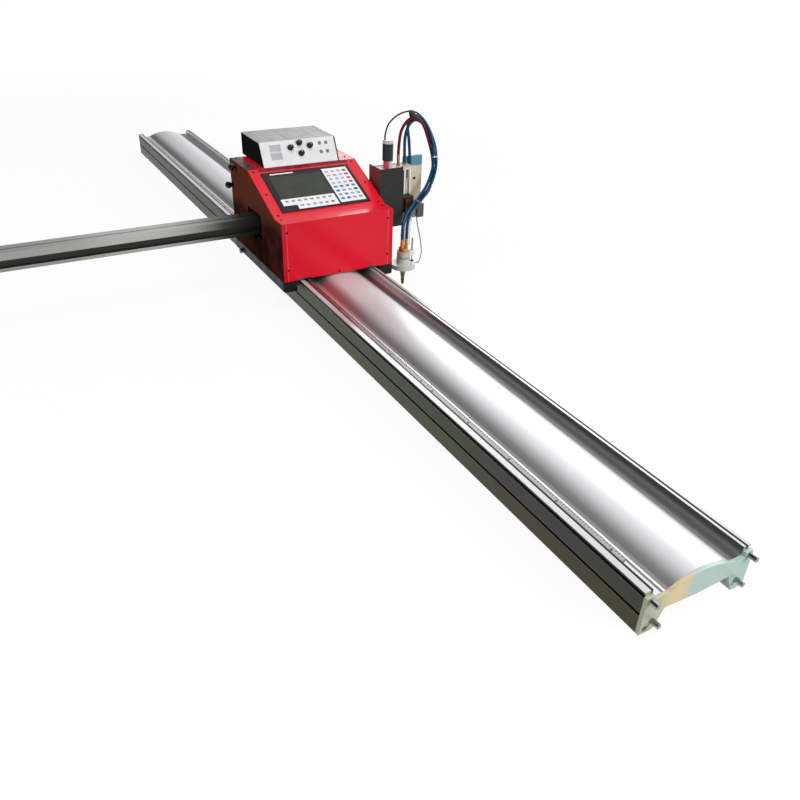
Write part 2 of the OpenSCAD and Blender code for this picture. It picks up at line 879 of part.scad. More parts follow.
module thc_knob_1() { thc_knob(0); }
module thc_knob_2() { thc_knob(1); }
module thc_knob_3() { thc_knob(2); }
module thc_knob_4() { thc_knob(3); }

// Ball knob with its stem and collar in one profile; pulling it releases a drive gear
module clutch_knob(c) {
    ball = clutch_out - clutch_r;
    arc = 12;
    start = asin(clutch_stem_r / clutch_r);
    color(black) placed() translate([-box_half, c[0], c[1]]) rotate([0, -90, 0])
        rotate_extrude($fn = fine) polygon(concat(
            [[0, -18], [clutch_stem_r, -18], [clutch_stem_r, 0.3], [clutch_stem_r + 3, 0.3],
             [clutch_stem_r + 3, 3], [clutch_stem_r, 4]],
            [for (i = [0 : arc - 1])
                let (t = start + (180 - start) * i / arc)
                [clutch_r * sin(t), ball - clutch_r * cos(t)]],
            [[0, clutch_out]]
        ));
}

module clutch_knob_upper() { clutch_knob(clutch_spots[0]); }
module clutch_knob_lower() { clutch_knob(clutch_spots[1]); }

// Square stepper motor with a bore for the pinion's shaft
module stepper(x, y, z, h) {
    corner = 5;
    difference() {
        translate([x, y, z]) linear_extrude(h) difference() {
            square([motor_w, motor_w], center = true);
            for (a = [0 : 90 : 270]) rotate(a) translate([motor_w / 2, motor_w / 2])
                rotate(45) square([corner, corner], center = true);
        }
        rod_z(z - 1, 17, shaft_r + run, x, y);
    }
}

module drive_motor() {
    color(black) placed() stepper(drive_x, drive_y, deck_z, drive_motor_h);
}

module beam_motor() {
    color(black) placed() stepper(beam_pinion_x, beam_pinion_y, beam_motor_z, beam_motor_h);
}

// Blocks on the deck with a window that the beam slides through
module beam_guides() {
    color(dark_steel) placed() both_sides() difference() {
        block([guide_x[0], beam_y - guide_wall, deck_z],
              [guide_x[1], beam_back + guide_wall, beam_top + guide_wall]);
        block([guide_x[0] - 1, beam_y - beam_run, beam_z - beam_run],
              [guide_x[1] + 1, beam_back + beam_run, beam_top + beam_run]);
    }
}

// Load wheel with a recessed hub, turned about X
module load_wheel(side, y) {
    hub = 11;
    dish = 3;
    half = wheel_w / 2;
    color(dark_steel) placed() translate([side * wheel_x, y, wheel_z]) rotate([0, 90, 0])
        rotate_extrude($fn = fine) polygon([
            [axle_r + run, -half], [hub, -half], [hub, -half + dish], [wheel_r - 5, -half + dish],
            [wheel_r - 5, -half], [wheel_r - 1, -half], [wheel_r, -half + 1],
            [wheel_r, half - 1], [wheel_r - 1, half], [wheel_r - 5, half],
            [wheel_r - 5, half - dish], [hub, half - dish], [hub, half], [axle_r + run, half]
        ]);
}

module load_wheel_front_left() { load_wheel(-1, wheel_ys[0]); }
module load_wheel_front_right() { load_wheel(1, wheel_ys[0]); }
module load_wheel_rear_left() { load_wheel(-1, wheel_ys[1]); }
module load_wheel_rear_right() { load_wheel(1, wheel_ys[1]); }

// Side guide roller, turned about Z
module guide_roller(side, y) {
    half = roller_w / 2;
    color(steel) placed() translate([side * roller_x, y, roller_z])
        rotate_extrude($fn = fine) polygon([
            [bolt_r + run, -half], [roller_r - 0.8, -half], [roller_r, -half + 0.8],
            [roller_r, half - 0.8], [roller_r - 0.8, half], [bolt_r + run, half]
        ]);
}

module guide_roller_front_left() { guide_roller(-1, roller_ys[0]); }
module guide_roller_front_right() { guide_roller(1, roller_ys[0]); }
module guide_roller_rear_left() { guide_roller(-1, roller_ys[1]); }
module guide_roller_rear_right() { guide_roller(1, roller_ys[1]); }

// Involute pinion with a shifted profile, so that few teeth mesh without undercut

base_r = pinion_pr * cos(pressure);
root_r = pinion_pr + (shift - 1.25) * tooth_module;
tip_r = pinion_pr + (shift + 1) * tooth_module - 0.2;
backlash = 0.12;
flank_steps = 5;

function involute(a) = tan(a) - a * PI / 180;

// Half of a tooth's angle at radius r, in degrees
function half_tooth(r) =
    let (a = r > base_r ? acos(base_r / r) : 0,
         at_pitch = (PI / 2 + 2 * shift * tan(pressure) - backlash / tooth_module) / pinion_teeth)
    (at_pitch + involute(pressure) - involute(a)) * 180 / PI;

function flank(side) = [
    for (i = [0 : flank_steps])
        let (r = base_r + (tip_r - base_r) * i / flank_steps)
        [r, side * half_tooth(r)]
];

function polar(p, a) = [p[0] * cos(p[1] + a), p[0] * sin(p[1] + a)];

function pinion_points() = [
    for (t = [0 : pinion_teeth - 1])
        let (a = (t + 0.5) * 360 / pinion_teeth, rise = flank(-1), fall = flank(1))
        each concat(
            [polar([root_r, -half_tooth(base_r)], a)],
            [for (p = rise) polar(p, a)],
            [for (i = [flank_steps : -1 : 0]) polar(fall[i], a)],
            [polar([root_r, half_tooth(base_r)], a)]
        )
];

// Pinion with its shaft; one tooth gap faces the rack
module pinion(x, y, z, turn, shaft_top) {
    color(steel) placed() {
        translate([x, y, z]) rotate([0, 0, turn]) linear_extrude(pinion_w)
            polygon(pinion_points());
        rod_z(z + pinion_w - 1, shaft_top - z - pinion_w + 1, shaft_r, x, y);
    }
}

module drive_pinion() {
    pinion(drive_x, drive_y, rail_pinion_z, 180, deck_z + 15);
}

module beam_pinion() {
    pinion(beam_pinion_x, beam_pinion_y, beam_pinion_z, 270, beam_motor_z + 15);
}

// Beam

// Beam section in Y and Z, with a band groove, a rack groove and a top slot
module beam_section() {
    inner_y = beam_y + band_d + beam_wall;
    inner_back = beam_back - rear_groove_d - beam_wall;
    difference() {
        translate([beam_y, beam_z]) square([beam_d, beam_h]);
        translate([beam_y - 1, band_z]) square([band_d + 1, band_h]);
        translate([beam_back - rear_groove_d, band_z]) square([rear_groove_d + 1, band_h]);
        translate([beam_y + beam_d / 2 - top_slot_w / 2, beam_top - top_slot_d])
            square([top_slot_w, top_slot_d + 1]);
        translate([inner_y, beam_z + beam_wall]) square([inner_back - inner_y, band_h + 6]);
        translate([inner_y, beam_z + band_h + 6 + 2 * beam_wall])
            square([inner_back - inner_y, beam_h - band_h - 6 - top_slot_d - 4 * beam_wall]);
    }
}

module beam() {
    color(alu) placed() along_x(beam_left, beam_len) beam_section();
}

module beam_rack() {
    color(steel) placed() for (i = [0 : beam_rack_pieces - 1])
        translate([beam_rack_x0 + i * beam_rack_teeth * tooth_pitch,
                   beam_back - rear_groove_d, beam_pinion_z - 1])
            rotate([0, 0, 90]) mirror([0, 1, 0])
                rack_bar(beam_rack_teeth, beam_rack_body, beam_rack_h);
}

module beam_end_caps() {
    color(black) placed() for (x = [beam_left - cap_t, beam_right])
        block([x, beam_y, beam_z], [x + cap_t, beam_back, beam_top]);
}

// Lifter

// Back plate with two decks that hold the screw and the guide rods
module lifter_base() {
    color([0.66, 0.65, 0.60]) placed() difference() {
        union() {
            along_y(base_y, base_t) polygon([
                [lifter_x + cover_t, base_z], [base_right, base_z], [base_right, base_top],
                [deck_right - 11, base_top], [deck_right - 11, high_deck_z + deck_h],
                [lifter_x + cover_t, high_deck_z + deck_h]
            ]);
            for (z = [low_deck_z, high_deck_z]) {
                block([lifter_x + cover_t, lifter_front + cover_t, z],
                      [cover_x - cover_t, base_y + 1, z + deck_h]);
                block([cover_x - cover_t - 1, rod_deck_y, z], [deck_right, base_y + 1, z + deck_h]);
            }
        }
        for (z = [low_deck_z, high_deck_z])
            rod_z(z - 1, deck_h + 2, screw_r + run, screw_x, screw_y);
    }
}

// Folded black sheet: front, left side and a short right flange
module lifter_cover() {
    flange = 12;
    top = cover_z + cover_h;
    color(black) placed() {
        block([lifter_x, lifter_front, cover_z], [cover_x, lifter_front + cover_t, top]);
        block([lifter_x, lifter_front, cover_z], [lifter_x + cover_t, base_y + base_t, top]);
        block([cover_x - cover_t, lifter_front, cover_z], [cover_x, lifter_front + flange, top]);
    }
}

module lift_motor() {
    z0 = high_deck_z + deck_h;
    color(black) placed() difference() {
        union() {
            rod_z(z0, gear_h, motor_r - 3, screw_x, screw_y);
            rod_z(z0 + gear_h, motor_len, motor_r, screw_x, screw_y);
            rod_z(z0 + gear_h + motor_len, cap_h, motor_cap_r, screw_x, screw_y);
        }
        rod_z(z0 - 1, 12, screw_r + run, screw_x, screw_y);
    }
}

module lift_screw() {
    z0 = low_deck_z + 1;
    color(steel) placed()
        rod_z(z0, high_deck_z + deck_h + 8 - z0, screw_r, screw_x, screw_y);
}

module guide_rods() {
    z0 = low_deck_z + deck_h;
    color(alu_bright) placed() for (x = rod_xs) rod_z(z0, high_deck_z - z0, rod_r, x, screw_y);
}

// Block that climbs the lead screw along the guide rods, with a lug for the cable and the wire
module slide_block() {
    color(dark_steel) placed() difference() {
        union() {
            block([block_x, block_y, block_z], [block_right, block_y + block_d, block_z + block_h]);
            block([block_right - 1, lug_y, block_z], [lug[0] + 1, block_y + block_d, lug_z[1] - 4]);
            block([lug[0], lug_y, lug_z[0]], [lug[1], block_y + block_d, lug_z[1]]);
        }
        rod_z(block_z - 1, block_h + 2, screw_r + run, screw_x, screw_y);
        for (x = rod_xs) rod_z(block_z - 1, block_h + 2, rod_r + run, x, screw_y);
    }
}

// Arm from the slide block down and forward to the clamp round the torch
module torch_arm() {
    leg_x = arm_x + arm_w / 2;
    leg_y = block_y - arm_t / 2;
    reach = [torch_x - leg_x, torch_y - leg_y];
    turn = atan2(reach[1], reach[0]);
    color([0.32, 0.22, 0.20]) placed() difference() {
        union() {
            block([arm_x, block_y - arm_t, arm_z], [arm_x + arm_w, block_y, block_z + block_h - 6]);
            translate([leg_x, leg_y, arm_z]) rotate([0, 0, turn]) translate([0, -7, 0])
                cube([norm(reach), 14, arm_h]);
            rod_z(arm_z, arm_h, clamp_r, torch_x, torch_y);
            block([torch_x, torch_y - 6, arm_z], [torch_x + stay_x + 5, torch_y + 6, arm_z + arm_h]);
        }
        rod_z(arm_z - 1, arm_h + 2, barrel_r + fit, torch_x, torch_y);
        rod_z(arm_z - 1, arm_h + 2, stay_r + fit, torch_x + stay_x, torch_y);
    }
}

// Torch: nozzle, barrel, head and three hose fittings
module torch() {
    color(brass) placed() translate([torch_x, torch_y, 0]) {
        rotate_extrude($fn = fine) polygon([
            [0, tip_z], [3, tip_z], [4.5, tip_z + 4], [6, tip_z + 24], [9, tip_z + 44],
            [10, barrel_z], [barrel_r, barrel_z + 4], [barrel_r, head_z], [head_r, head_z],
            [head_r, fitting_z - 1], [head_r - 1, fitting_z], [0, fitting_z]
        ]);
        for (p = torch_ports) translate([p[0], p[1], fitting_z - 1]) {
            cylinder(h = 13, r = fitting_r, $fn = 6);
            cylinder(h = fitting_top - fitting_z + 1, r = fitting_r - 1.4, $fn = 48);
        }
    }
}

// Height sensor ring with its hub, hung from the clamp by a thin rod
module sensor_ring() {
    color(white) placed() translate([torch_x, torch_y, 0]) {
        difference() {
            union() {
                rod_z(ring_z, ring_t, ring_r, 0, 0);
                rod_z(ring_z, ring_t + hub_h, hub_r, 0, 0);
            }
            rod_z(ring_z - 1, ring_t + hub_h + 2, barrel_r + fit, 0, 0);
        }
        rod_z(ring_z + 1, fitting_top - ring_z - 4, stay_r, stay_x, 0);
    }
}

// Fittings that the hoses start from: two on the deck, one on an elbow from the back plate
module gas_fittings() {
    deck = high_deck_z + deck_h;
    last = port_spots[2];
    color(brass) placed() translate([hose_shift[0], 0, hose_shift[2]]) {
        for (p = [port_spots[0], port_spots[1]]) {
            rod_z(deck - hose_shift[2], p[2] - deck + hose_shift[2], fitting_r - 1, p[0], p[1]);
            translate([p[0], p[1], deck - hose_shift[2]]) cylinder(h = 7, r = fitting_r + 1, $fn = 6);
        }
        rod_z(306, last[2] - 306, fitting_r - 1, last[0], last[1]);
        translate([last[0], last[1], 334]) cylinder(h = 10, r = fitting_r + 1, $fn = 6);
        rod_y(last[1], base_y - last[1], fitting_r - 1, last[0], 311);
    }
}

// Hoses and cables

function unit(v) = v / norm(v);

// Direction of the route at one of its points, straight at its two ends
function route_way(r, k) =
    let (n = len(r) - 1)
    unit(r[min(k + 1, n)] - r[max(k - 1, 0)]);

// A tube along a route, with one ring of the given number of sides at each point
module tube(route, d, sides) {
    rings = len(route);
    points = [
        for (k = [0 : rings - 1])
            let (w = route_way(route, k), side = unit(cross(w, [0.05, 1, 0.1])),
                 up = cross(side, w))
            for (j = [0 : sides - 1])
                let (a = 360 * j / sides)
                route[k] + d / 2 * (cos(a) * side + sin(a) * up)
    ];
    last = (rings - 1) * sides;
    faces = concat(
        [[for (j = [0 : sides - 1]) j]],
        [for (k = [0 : rings - 2], j = [0 : sides - 1])
            let (a = k * sides + j, b = k * sides + (j + 1) % sides)
            each [[a, a + sides, b + sides], [a, b + sides, b]]],
        [[for (j = [sides - 1 : -1 : 0]) last + j]]
    );
    polyhedron(points = points, faces = faces, convexity = 6);
}

module red_hose() {
    color([0.55, 0.08, 0.12]) placed() translate(hose_shift) tube(red_route, hose_d, 10);
}

module blue_hose_left() {
    color([0.05, 0.22, 0.38]) placed() translate(hose_shift) tube(blue_left_route, hose_d, 10);
}

module blue_hose_right() {
    color([0.05, 0.22, 0.38]) placed() translate(hose_shift) tube(blue_right_route, hose_d, 10);
}

module motor_cable() {
    color(black) placed() translate(hose_shift) tube(cable_route, cable_d, 8);
}

module sensor_wire() {
    color([0.5, 0.5, 0.5]) placed() translate(hose_shift) tube(wire_route, wire_d, 8);
}

rail();
guide_bars();
rail_rack();
near_end_plate();
far_end_plate();
joining_pins();
chassis();
guide_brackets();
axles();
front_cover();
left_side_plate();
right_side_plate();
top_cover();
rear_cover();
cover_screws();
control_unit();
screen();
keypad();
panel_keys();
thc_case();
thc_lid();
thc_front_panel();
thc_windows();
thc_knob_1();
thc_knob_2();
thc_knob_3();
thc_knob_4();
clutch_knob_upper();
clutch_knob_lower();
drive_motor();
beam_motor();
beam_guides();
load_wheel_front_left();
load_wheel_front_right();
load_wheel_rear_left();
load_wheel_rear_right();
guide_roller_front_left();
guide_roller_front_right();
guide_roller_rear_left();
guide_roller_rear_right();
drive_pinion();
beam_pinion();
beam();
beam_rack();
beam_end_caps();
lifter_base();
lifter_cover();
lift_motor();
lift_screw();
guide_rods();
slide_block();
torch_arm();
torch();
sensor_ring();
gas_fittings();
red_hose();
blue_hose_left();
blue_hose_right();
motor_cable();
sensor_wire();
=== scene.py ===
import math

import bmesh
import bpy
from mathutils import Matrix, Vector
from mathutils.geometry import convex_hull_2d


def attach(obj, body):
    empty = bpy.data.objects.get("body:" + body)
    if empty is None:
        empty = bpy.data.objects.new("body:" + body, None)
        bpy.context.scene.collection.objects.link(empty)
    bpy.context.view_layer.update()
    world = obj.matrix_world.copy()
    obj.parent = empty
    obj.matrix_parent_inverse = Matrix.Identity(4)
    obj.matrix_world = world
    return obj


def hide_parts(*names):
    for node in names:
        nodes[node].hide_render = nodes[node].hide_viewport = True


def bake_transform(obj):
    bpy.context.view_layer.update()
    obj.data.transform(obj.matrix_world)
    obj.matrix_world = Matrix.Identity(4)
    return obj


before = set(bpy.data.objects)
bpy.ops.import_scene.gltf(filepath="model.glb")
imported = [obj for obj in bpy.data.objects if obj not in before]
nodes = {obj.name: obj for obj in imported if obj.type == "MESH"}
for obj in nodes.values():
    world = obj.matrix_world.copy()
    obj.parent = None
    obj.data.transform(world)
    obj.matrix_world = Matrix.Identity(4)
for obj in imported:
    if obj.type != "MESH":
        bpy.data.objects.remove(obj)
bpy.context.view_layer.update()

# The rail's own frame in millimetres, as in part.scad, and the way from it to the row frame
MID = Vector((-653.0, 1741.5, 0.0))
MM = 0.001


def at(x, y, z):
    return (Vector((x, y, z)) - MID) * MM


def row_y(y):
    return (y - MID.y) * MM


# Camera, as solved from the photo: degrees, the rail's millimetres and pixels

CAMERA_ANGLES = (-30.2401, 31.67, 1.9266)
CAMERA_PLACE = (-936.72, -565.05, 1002.71)
FOCAL, PICTURE = 764.901, 800
SENSOR = 36.0


def add_camera():
    azimuth, elevation, roll = (math.radians(a) for a in CAMERA_ANGLES)
    back = Vector((math.sin(azimuth) * math.cos(elevation),
                   -math.cos(azimuth) * math.cos(elevation), math.sin(elevation)))
    right = Vector((math.cos(azimuth), math.sin(azimuth), 0))
    up = back.cross(right)
    axes = (math.cos(roll) * right + math.sin(roll) * up,
            -math.sin(roll) * right + math.cos(roll) * up, back)
    data = bpy.data.cameras.new("camera")
    data.sensor_width = SENSOR
    data.lens = SENSOR * FOCAL / PICTURE
    data.clip_start, data.clip_end = 0.05, 100
    camera = bpy.data.objects.new("camera", data)
    turn = Matrix(axes).transposed().to_4x4()
    turn.translation = at(*CAMERA_PLACE)
    camera.matrix_world = turn
    bpy.context.scene.collection.objects.link(camera)
    bpy.context.scene.camera = camera


add_camera()


# Materials

class Tree:
    """Short names for making nodes in one shader tree."""

    def __init__(self, tree):
        self.tree = tree
        self.coords = self.add("TexCoord")

    def add(self, kind, **values):
        node = self.tree.nodes.new("ShaderNode" + kind)
        for key, value in values.items():
            setattr(node, key, value)
        return node

    def link(self, a, b):
        self.tree.links.new(a, b)

    def feed(self, socket, value):
        """Gives an input a number, a colour or another node's output."""
        if isinstance(value, (int, float)):
            socket.default_value = value
        elif isinstance(value, tuple):
            socket.default_value = (*value, 1)
        else:
            self.link(value, socket)

    def noise(self, scale, detail, turn=0.0):
        """Noise with one scale or one for each axis, turned about Z by degrees."""
        mapping = self.add("Mapping")
        mapping.inputs["Scale"].default_value = (
            (scale,) * 3 if isinstance(scale, (int, float)) else scale)
        mapping.inputs["Rotation"].default_value = (0, 0, math.radians(turn))
        self.link(self.coords.outputs["Object"], mapping.inputs["Vector"])
        node = self.add("TexNoise")
        node.inputs["Scale"].default_value = 1.0
        node.inputs["Detail"].default_value = detail
        self.link(mapping.outputs["Vector"], node.inputs["Vector"])
        return node.outputs["Fac"]

    def ramp(self, value, stops):
        node = self.add("ValToRGB")
        self.link(value, node.inputs["Fac"])
        while len(node.color_ramp.elements) < len(stops):
            node.color_ramp.elements.new(0.5)
        for element, (place, colour) in zip(node.color_ramp.elements, stops):
            element.position = place
            element.color = (*colour, 1)
        return node.outputs["Color"]

    def span(self, value, low, high, to_low, to_high, smooth=False):
        node = self.add("MapRange")
        if smooth:
            node.interpolation_type = "SMOOTHSTEP"
        self.link(value, node.inputs["Value"])
        for key, number in (("From Min", low), ("From Max", high), ("To Min", to_low),
                            ("To Max", to_high)):
            node.inputs[key].default_value = number
        return node.outputs["Result"]

    def math(self, operation, *values):
        node = self.add("Math", operation=operation)
        for socket, value in zip(node.inputs, values):
            self.feed(socket, value)
        return node.outputs["Value"]

    def mix(self, factor, a, b, blend="MIX"):
        node = self.add("Mix", data_type="RGBA", blend_type=blend)
        for socket, value in ((node.inputs[0], factor), (node.inputs[6], a), (node.inputs[7], b)):
            self.feed(socket, value)
        return node.outputs[2]

    def times(self, a, b):
        return self.mix(1.0, a, b, "MULTIPLY")

    def axis(self, which, source="Object"):
        """X, Y or Z (0, 1 or 2) of the place, or of another source."""
        node = self.add("SeparateXYZ")
        self.link(self.coords.outputs[source], node.inputs["Vector"])
        return node.outputs[which]

    def across(self, x=0.0):
        """Distance in metres, along X, from a place in the rail's own millimetres."""
        return self.math("SUBTRACT", self.axis(0), (x - MID.x) * MM)

    def inside(self, value, low, high, soft=0.0004):
        """1 between two numbers, 0 outside them."""
        return self.math("MULTIPLY", self.span(value, low - soft, low + soft, 0.0, 1.0),
                         self.span(value, high - soft, high + soft, 1.0, 0.0))


class Nodes(Tree):
    """The nodes of one material."""

    def __init__(self, name):
        self.material = bpy.data.materials.new(name)
        self.material.use_nodes = True
        super().__init__(self.material.node_tree)
        self.shader = self.tree.nodes["Principled BSDF"]

    def bump(self, height, strength, distance=0.0003):
        node = self.add("Bump")
        node.inputs["Strength"].default_value = strength
        node.inputs["Distance"].default_value = distance
        self.link(height, node.inputs["Height"])
        if self.shader.inputs["Normal"].is_linked:
            self.link(self.shader.inputs["Normal"].links[0].from_socket, node.inputs["Normal"])
        self.link(node.outputs["Normal"], self.shader.inputs["Normal"])

    def put(self, name, value):
        self.feed(self.shader.inputs[name], value)

    def colour(self, value):
        self.put("Base Color", value)

    def rough(self, value):
        self.put("Roughness", value)

    def painted(self):
        """The colour that the material has so far."""
        return self.shader.inputs["Base Color"].links[0].from_socket


def scaled(colour, factor):
    return tuple(min(1.0, c * factor) for c in colour)


def base(name, colour, metallic=0.0, rough=0.5, coat=0.0, specular=0.5):
    n = Nodes(name)
    n.put("Base Color", colour)
    n.put("Metallic", metallic)
    n.put("Roughness", rough)
    n.put("Coat Weight", coat)
    n.put("Coat Roughness", 0.16)
    n.put("Specular IOR Level", specular)
    n.material.diffuse_color = (*colour, 1)
    return n


def paint(name, colour, rough=0.3, coat=0.0, grain=900, bump=0.08, dust=0.06, specular=0.15):
    """Powder coat: faint orange peel, a cloudy tone and a little dust in patches."""
    n = base(name, colour, 0.0, rough, coat, specular)
    cloud = n.noise(6, 4.0)
    tone = n.ramp(cloud, [(0.3, scaled(colour, 0.96)), (0.7, scaled(colour, 1.03))])
    specks = n.span(n.noise(140, 2.0), 0.62, 0.8, 0.0, dust)
    n.colour(n.mix(specks, tone, (0.45, 0.42, 0.40)))
    n.rough(n.span(n.noise(25, 3.0), 0.3, 0.7, rough * 0.85, rough * 1.25))
    n.bump(n.noise(grain, 2.0), bump)
    return n


def metal(name, colour, rough=0.3, streak=(900, 9, 900), contrast=0.12, bump=0.12):
    """Drawn or ground metal: streaks along one direction and soft stains."""
    n = base(name, colour, 1.0, rough)
    lines = n.noise(streak, 5.0)
    stain = n.noise(9, 4.0)
    tone = n.ramp(lines, [(0.3, scaled(colour, 1 - contrast)), (0.7, scaled(colour, 1 + contrast))])
    n.colour(n.mix(n.span(stain, 0.5, 0.75, 0.0, 0.25), tone, scaled(colour, 0.8)))
    n.rough(n.span(lines, 0.3, 0.7, rough * 0.8, rough * 1.3))
    n.bump(lines, bump, 0.0001)
    return n


def plastic(name, colour, rough=0.4, grain=1800, bump=0.1, coat=0.0, specular=0.2):
    n = base(name, colour, 0.0, rough, coat, specular)
    tone = n.ramp(n.noise(30, 4.0),
                  [(0.3, scaled(colour, 0.93)), (0.7, scaled(colour, 1.05))])
    n.colour(tone)
    n.rough(n.span(n.noise(60, 3.0), 0.3, 0.7, rough * 0.9, rough * 1.15))
    n.bump(n.noise(grain, 2.0), bump)
    return n


def dress(node, n):
    """Gives a CAD node its material."""
    slots = nodes[node].data.materials
    slots.clear()
    slots.append(n.material)


# Mesh helpers

def new_object(name, mesh, body, n):
    piece = bpy.data.objects.new(name, mesh)
    bpy.context.scene.collection.objects.link(piece)
    piece.data.materials.append(n.material)
    if body:
        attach(piece, body)
    return piece


def from_bmesh(name, bm, smooth_angle=30):
    mesh = bpy.data.meshes.new(name)
    bmesh.ops.recalc_face_normals(bm, faces=bm.faces)
    for face in bm.faces:
        face.smooth = True
    for edge in bm.edges:
        edge.smooth = edge.calc_face_angle(0) < math.radians(smooth_angle)
    bm.to_mesh(mesh)
    bm.free()
    return mesh


def new_piece(name, bm, body, n, smooth_angle=30):
    return new_object(name, from_bmesh(name, bm, smooth_angle), body, n)


def lathe(bm, profile, place, sides=32):
    """Turns a profile of (radius, height) about local Z and places it by a matrix."""
    rings = []
    for radius, height in profile:
        if radius < 1e-6:
            rings.append([bm.verts.new(place @ Vector((0, 0, height * MM)))])
            continue
        rings.append([
            bm.verts.new(place @ Vector((radius * MM * math.cos(2 * math.pi * k / sides),
                                         radius * MM * math.sin(2 * math.pi * k / sides),
                                         height * MM)))
            for k in range(sides)])
    for low, high in zip(rings, rings[1:]):
        for k in range(sides):
            j = (k + 1) % sides
            if len(low) == 1:
                bm.faces.new((low[0], high[k], high[j]))
            elif len(high) == 1:
                bm.faces.new((low[k], low[j], high[0]))
            else:
                bm.faces.new((low[k], low[j], high[j], high[k]))
    for ring in (rings[0], rings[-1]):
        if len(ring) > 1:
            bm.faces.new(ring)


def slab(bm, outline, low, high, place, bevel=0.0):
    """A flat piece from an outline in millimetres, between two heights, with a small chamfer."""
    def ring(shrink, height):
        points = inset(outline, shrink) if shrink else outline
        return [bm.verts.new(place @ (Vector((x, y, height)) * MM)) for x, y in points]
    levels = [ring(0, low), ring(0, high - bevel), ring(bevel, high)] if bevel else [
        ring(0, low), ring(0, high)]
    count = len(outline)
    for a, b in zip(levels, levels[1:]):
        for k in range(count):
            j = (k + 1) % count
            bm.faces.new((a[k], a[j], b[j], b[k]))
    bm.faces.new(levels[0])
    bm.faces.new(levels[-1])


def inset(outline, d):
    """Moves each side of a convex counter-clockwise outline inward by d."""
    made = []
    count = len(outline)
    for k in range(count):
        a, b, c = (Vector(outline[(k + s) % count]) for s in (-1, 0, 1))
        u, v = (b - a).normalized(), (c - b).normalized()
        nu, nv = Vector((-u.y, u.x)), Vector((-v.y, v.x))
        scale = d / max(0.2, 1 + nu.dot(nv))
        made.append(b + (nu + nv) * scale)
    return made


def rounded(x, y, w, h, r=1.0, steps=3):
    """Outline of a rounded rectangle about its centre, counter-clockwise."""
    points = []
    for cx, cy, start in ((w / 2 - r, h / 2 - r, 0), (-w / 2 + r, h / 2 - r, 90),
                          (-w / 2 + r, -h / 2 + r, 180), (w / 2 - r, -h / 2 + r, 270)):
        for i in range(steps + 1):
            a = math.radians(start + 90 * i / steps)
            points.append((x + cx + r * math.cos(a), y + cy + r * math.sin(a)))
    return points


def curve_points(route, per_span=12):
    """The smooth curve through the route's points, as in part.scad."""
    p = [Vector(q) for q in route]
    p = [2 * p[0] - p[1]] + p + [2 * p[-1] - p[-2]]
    made = []
    for i in range(1, len(p) - 2):
        a, b, c, d = p[i - 1:i + 3]
        for k in range(per_span):
            t = k / per_span
            made.append(0.5 * (2 * b + (c - a) * t + (2 * a - 5 * b + 4 * c - d) * t * t
                               + (3 * b - a - 3 * c + d) * t ** 3))
    made.append(p[-2])
    return made


def tube_mesh(name, points, radius, sides=20, widths=None):
    """A closed tube along points in metres, with a UV map: U along in metres, V around."""
    bm = bmesh.new()
    uv = bm.loops.layers.uv.new("along")
    side = None
    rings, along, run = [], [], 0.0
    for i, p in enumerate(points):
        way = (points[min(i + 1, len(points) - 1)] - points[max(i - 1, 0)]).normalized()
        if side is None:
            side = way.cross(Vector((0.05, 1, 0.1))).normalized()
        side = (side - way * side.dot(way)).normalized()
        up = way.cross(side)
        if i:
            run += (p - points[i - 1]).length
        r = radius * (widths[i] if widths else 1)
        rings.append([bm.verts.new(p + r * (math.cos(2 * math.pi * k / sides) * side
                                            + math.sin(2 * math.pi * k / sides) * up))
                      for k in range(sides)])
        along.append(run)
    for i in range(len(rings) - 1):
        for k in range(sides):
            j = (k + 1) % sides
            face = bm.faces.new((rings[i][k], rings[i][j], rings[i + 1][j], rings[i + 1][k]))
            for loop, u, v in zip(face.loops, (i, i, i + 1, i + 1), (k, k + 1, k + 1, k)):
                loop[uv].uv = (along[u], v / sides)
    bm.faces.new(list(reversed(rings[0])))
    bm.faces.new(rings[-1])
    return from_bmesh(name, bm, 50)


# Hoses and cables

# Points in the rail's millimetres, the same as in part.scad
ROUTES = {
    "red_hose": [
        (289, 1600, 388), (289, 1600, 400), (294, 1599, 451), (309, 1597, 482), (331, 1594, 497),
        (354, 1592, 493), (376, 1594, 469), (397, 1597, 424), (412, 1595, 377), (414, 1589, 338),
        (405, 1577, 303), (385, 1562, 272), (356, 1556, 248), (321, 1546, 229), (286, 1522, 214),
        (256, 1494, 197), (244, 1482, 170), (244, 1482, 158)],
    "blue_hose_left": [
        (312, 1600, 361), (312, 1600, 373), (310, 1598, 433), (317, 1596, 467), (334, 1598, 486),
        (357, 1604, 487), (381, 1606, 471), (403, 1603, 436), (419, 1594, 393), (422, 1583, 355),
        (410, 1571, 319), (384, 1557, 284), (350, 1545, 251), (318, 1532, 231), (285, 1506, 216),
        (262, 1481, 200), (252, 1467, 170), (252, 1467, 158)],
    "blue_hose_right": [
        (337, 1608, 349), (337, 1608, 361), (331, 1607, 421), (325, 1608, 469), (334, 1608, 493),
        (353, 1604, 501), (376, 1599, 488), (396, 1593, 455), (410, 1587, 408), (411, 1582, 362),
        (401, 1577, 321), (379, 1567, 286), (345, 1554, 256), (307, 1536, 235), (271, 1508, 219),
        (246, 1482, 201), (236, 1467, 170), (236, 1467, 158)],
    "motor_cable": [
        (232, 1586, 441), (232, 1586, 455), (245, 1591, 484), (272, 1597, 504), (306, 1604, 514),
        (339, 1609, 514), (368, 1612, 502), (395, 1611, 475), (417, 1610, 439), (432, 1607, 399),
        (438, 1604, 357), (433, 1600, 317), (416, 1595, 280), (385, 1591, 252), (371, 1591, 234),
        (371, 1591, 222)],
    "sensor_wire": [
        (362, 1591, 177), (362, 1591, 166), (363, 1583, 142), (361, 1566, 118), (352, 1541, 96),
        (338, 1514, 81), (320, 1491, 72), (302, 1471, 69), (284, 1471, 69)],
}
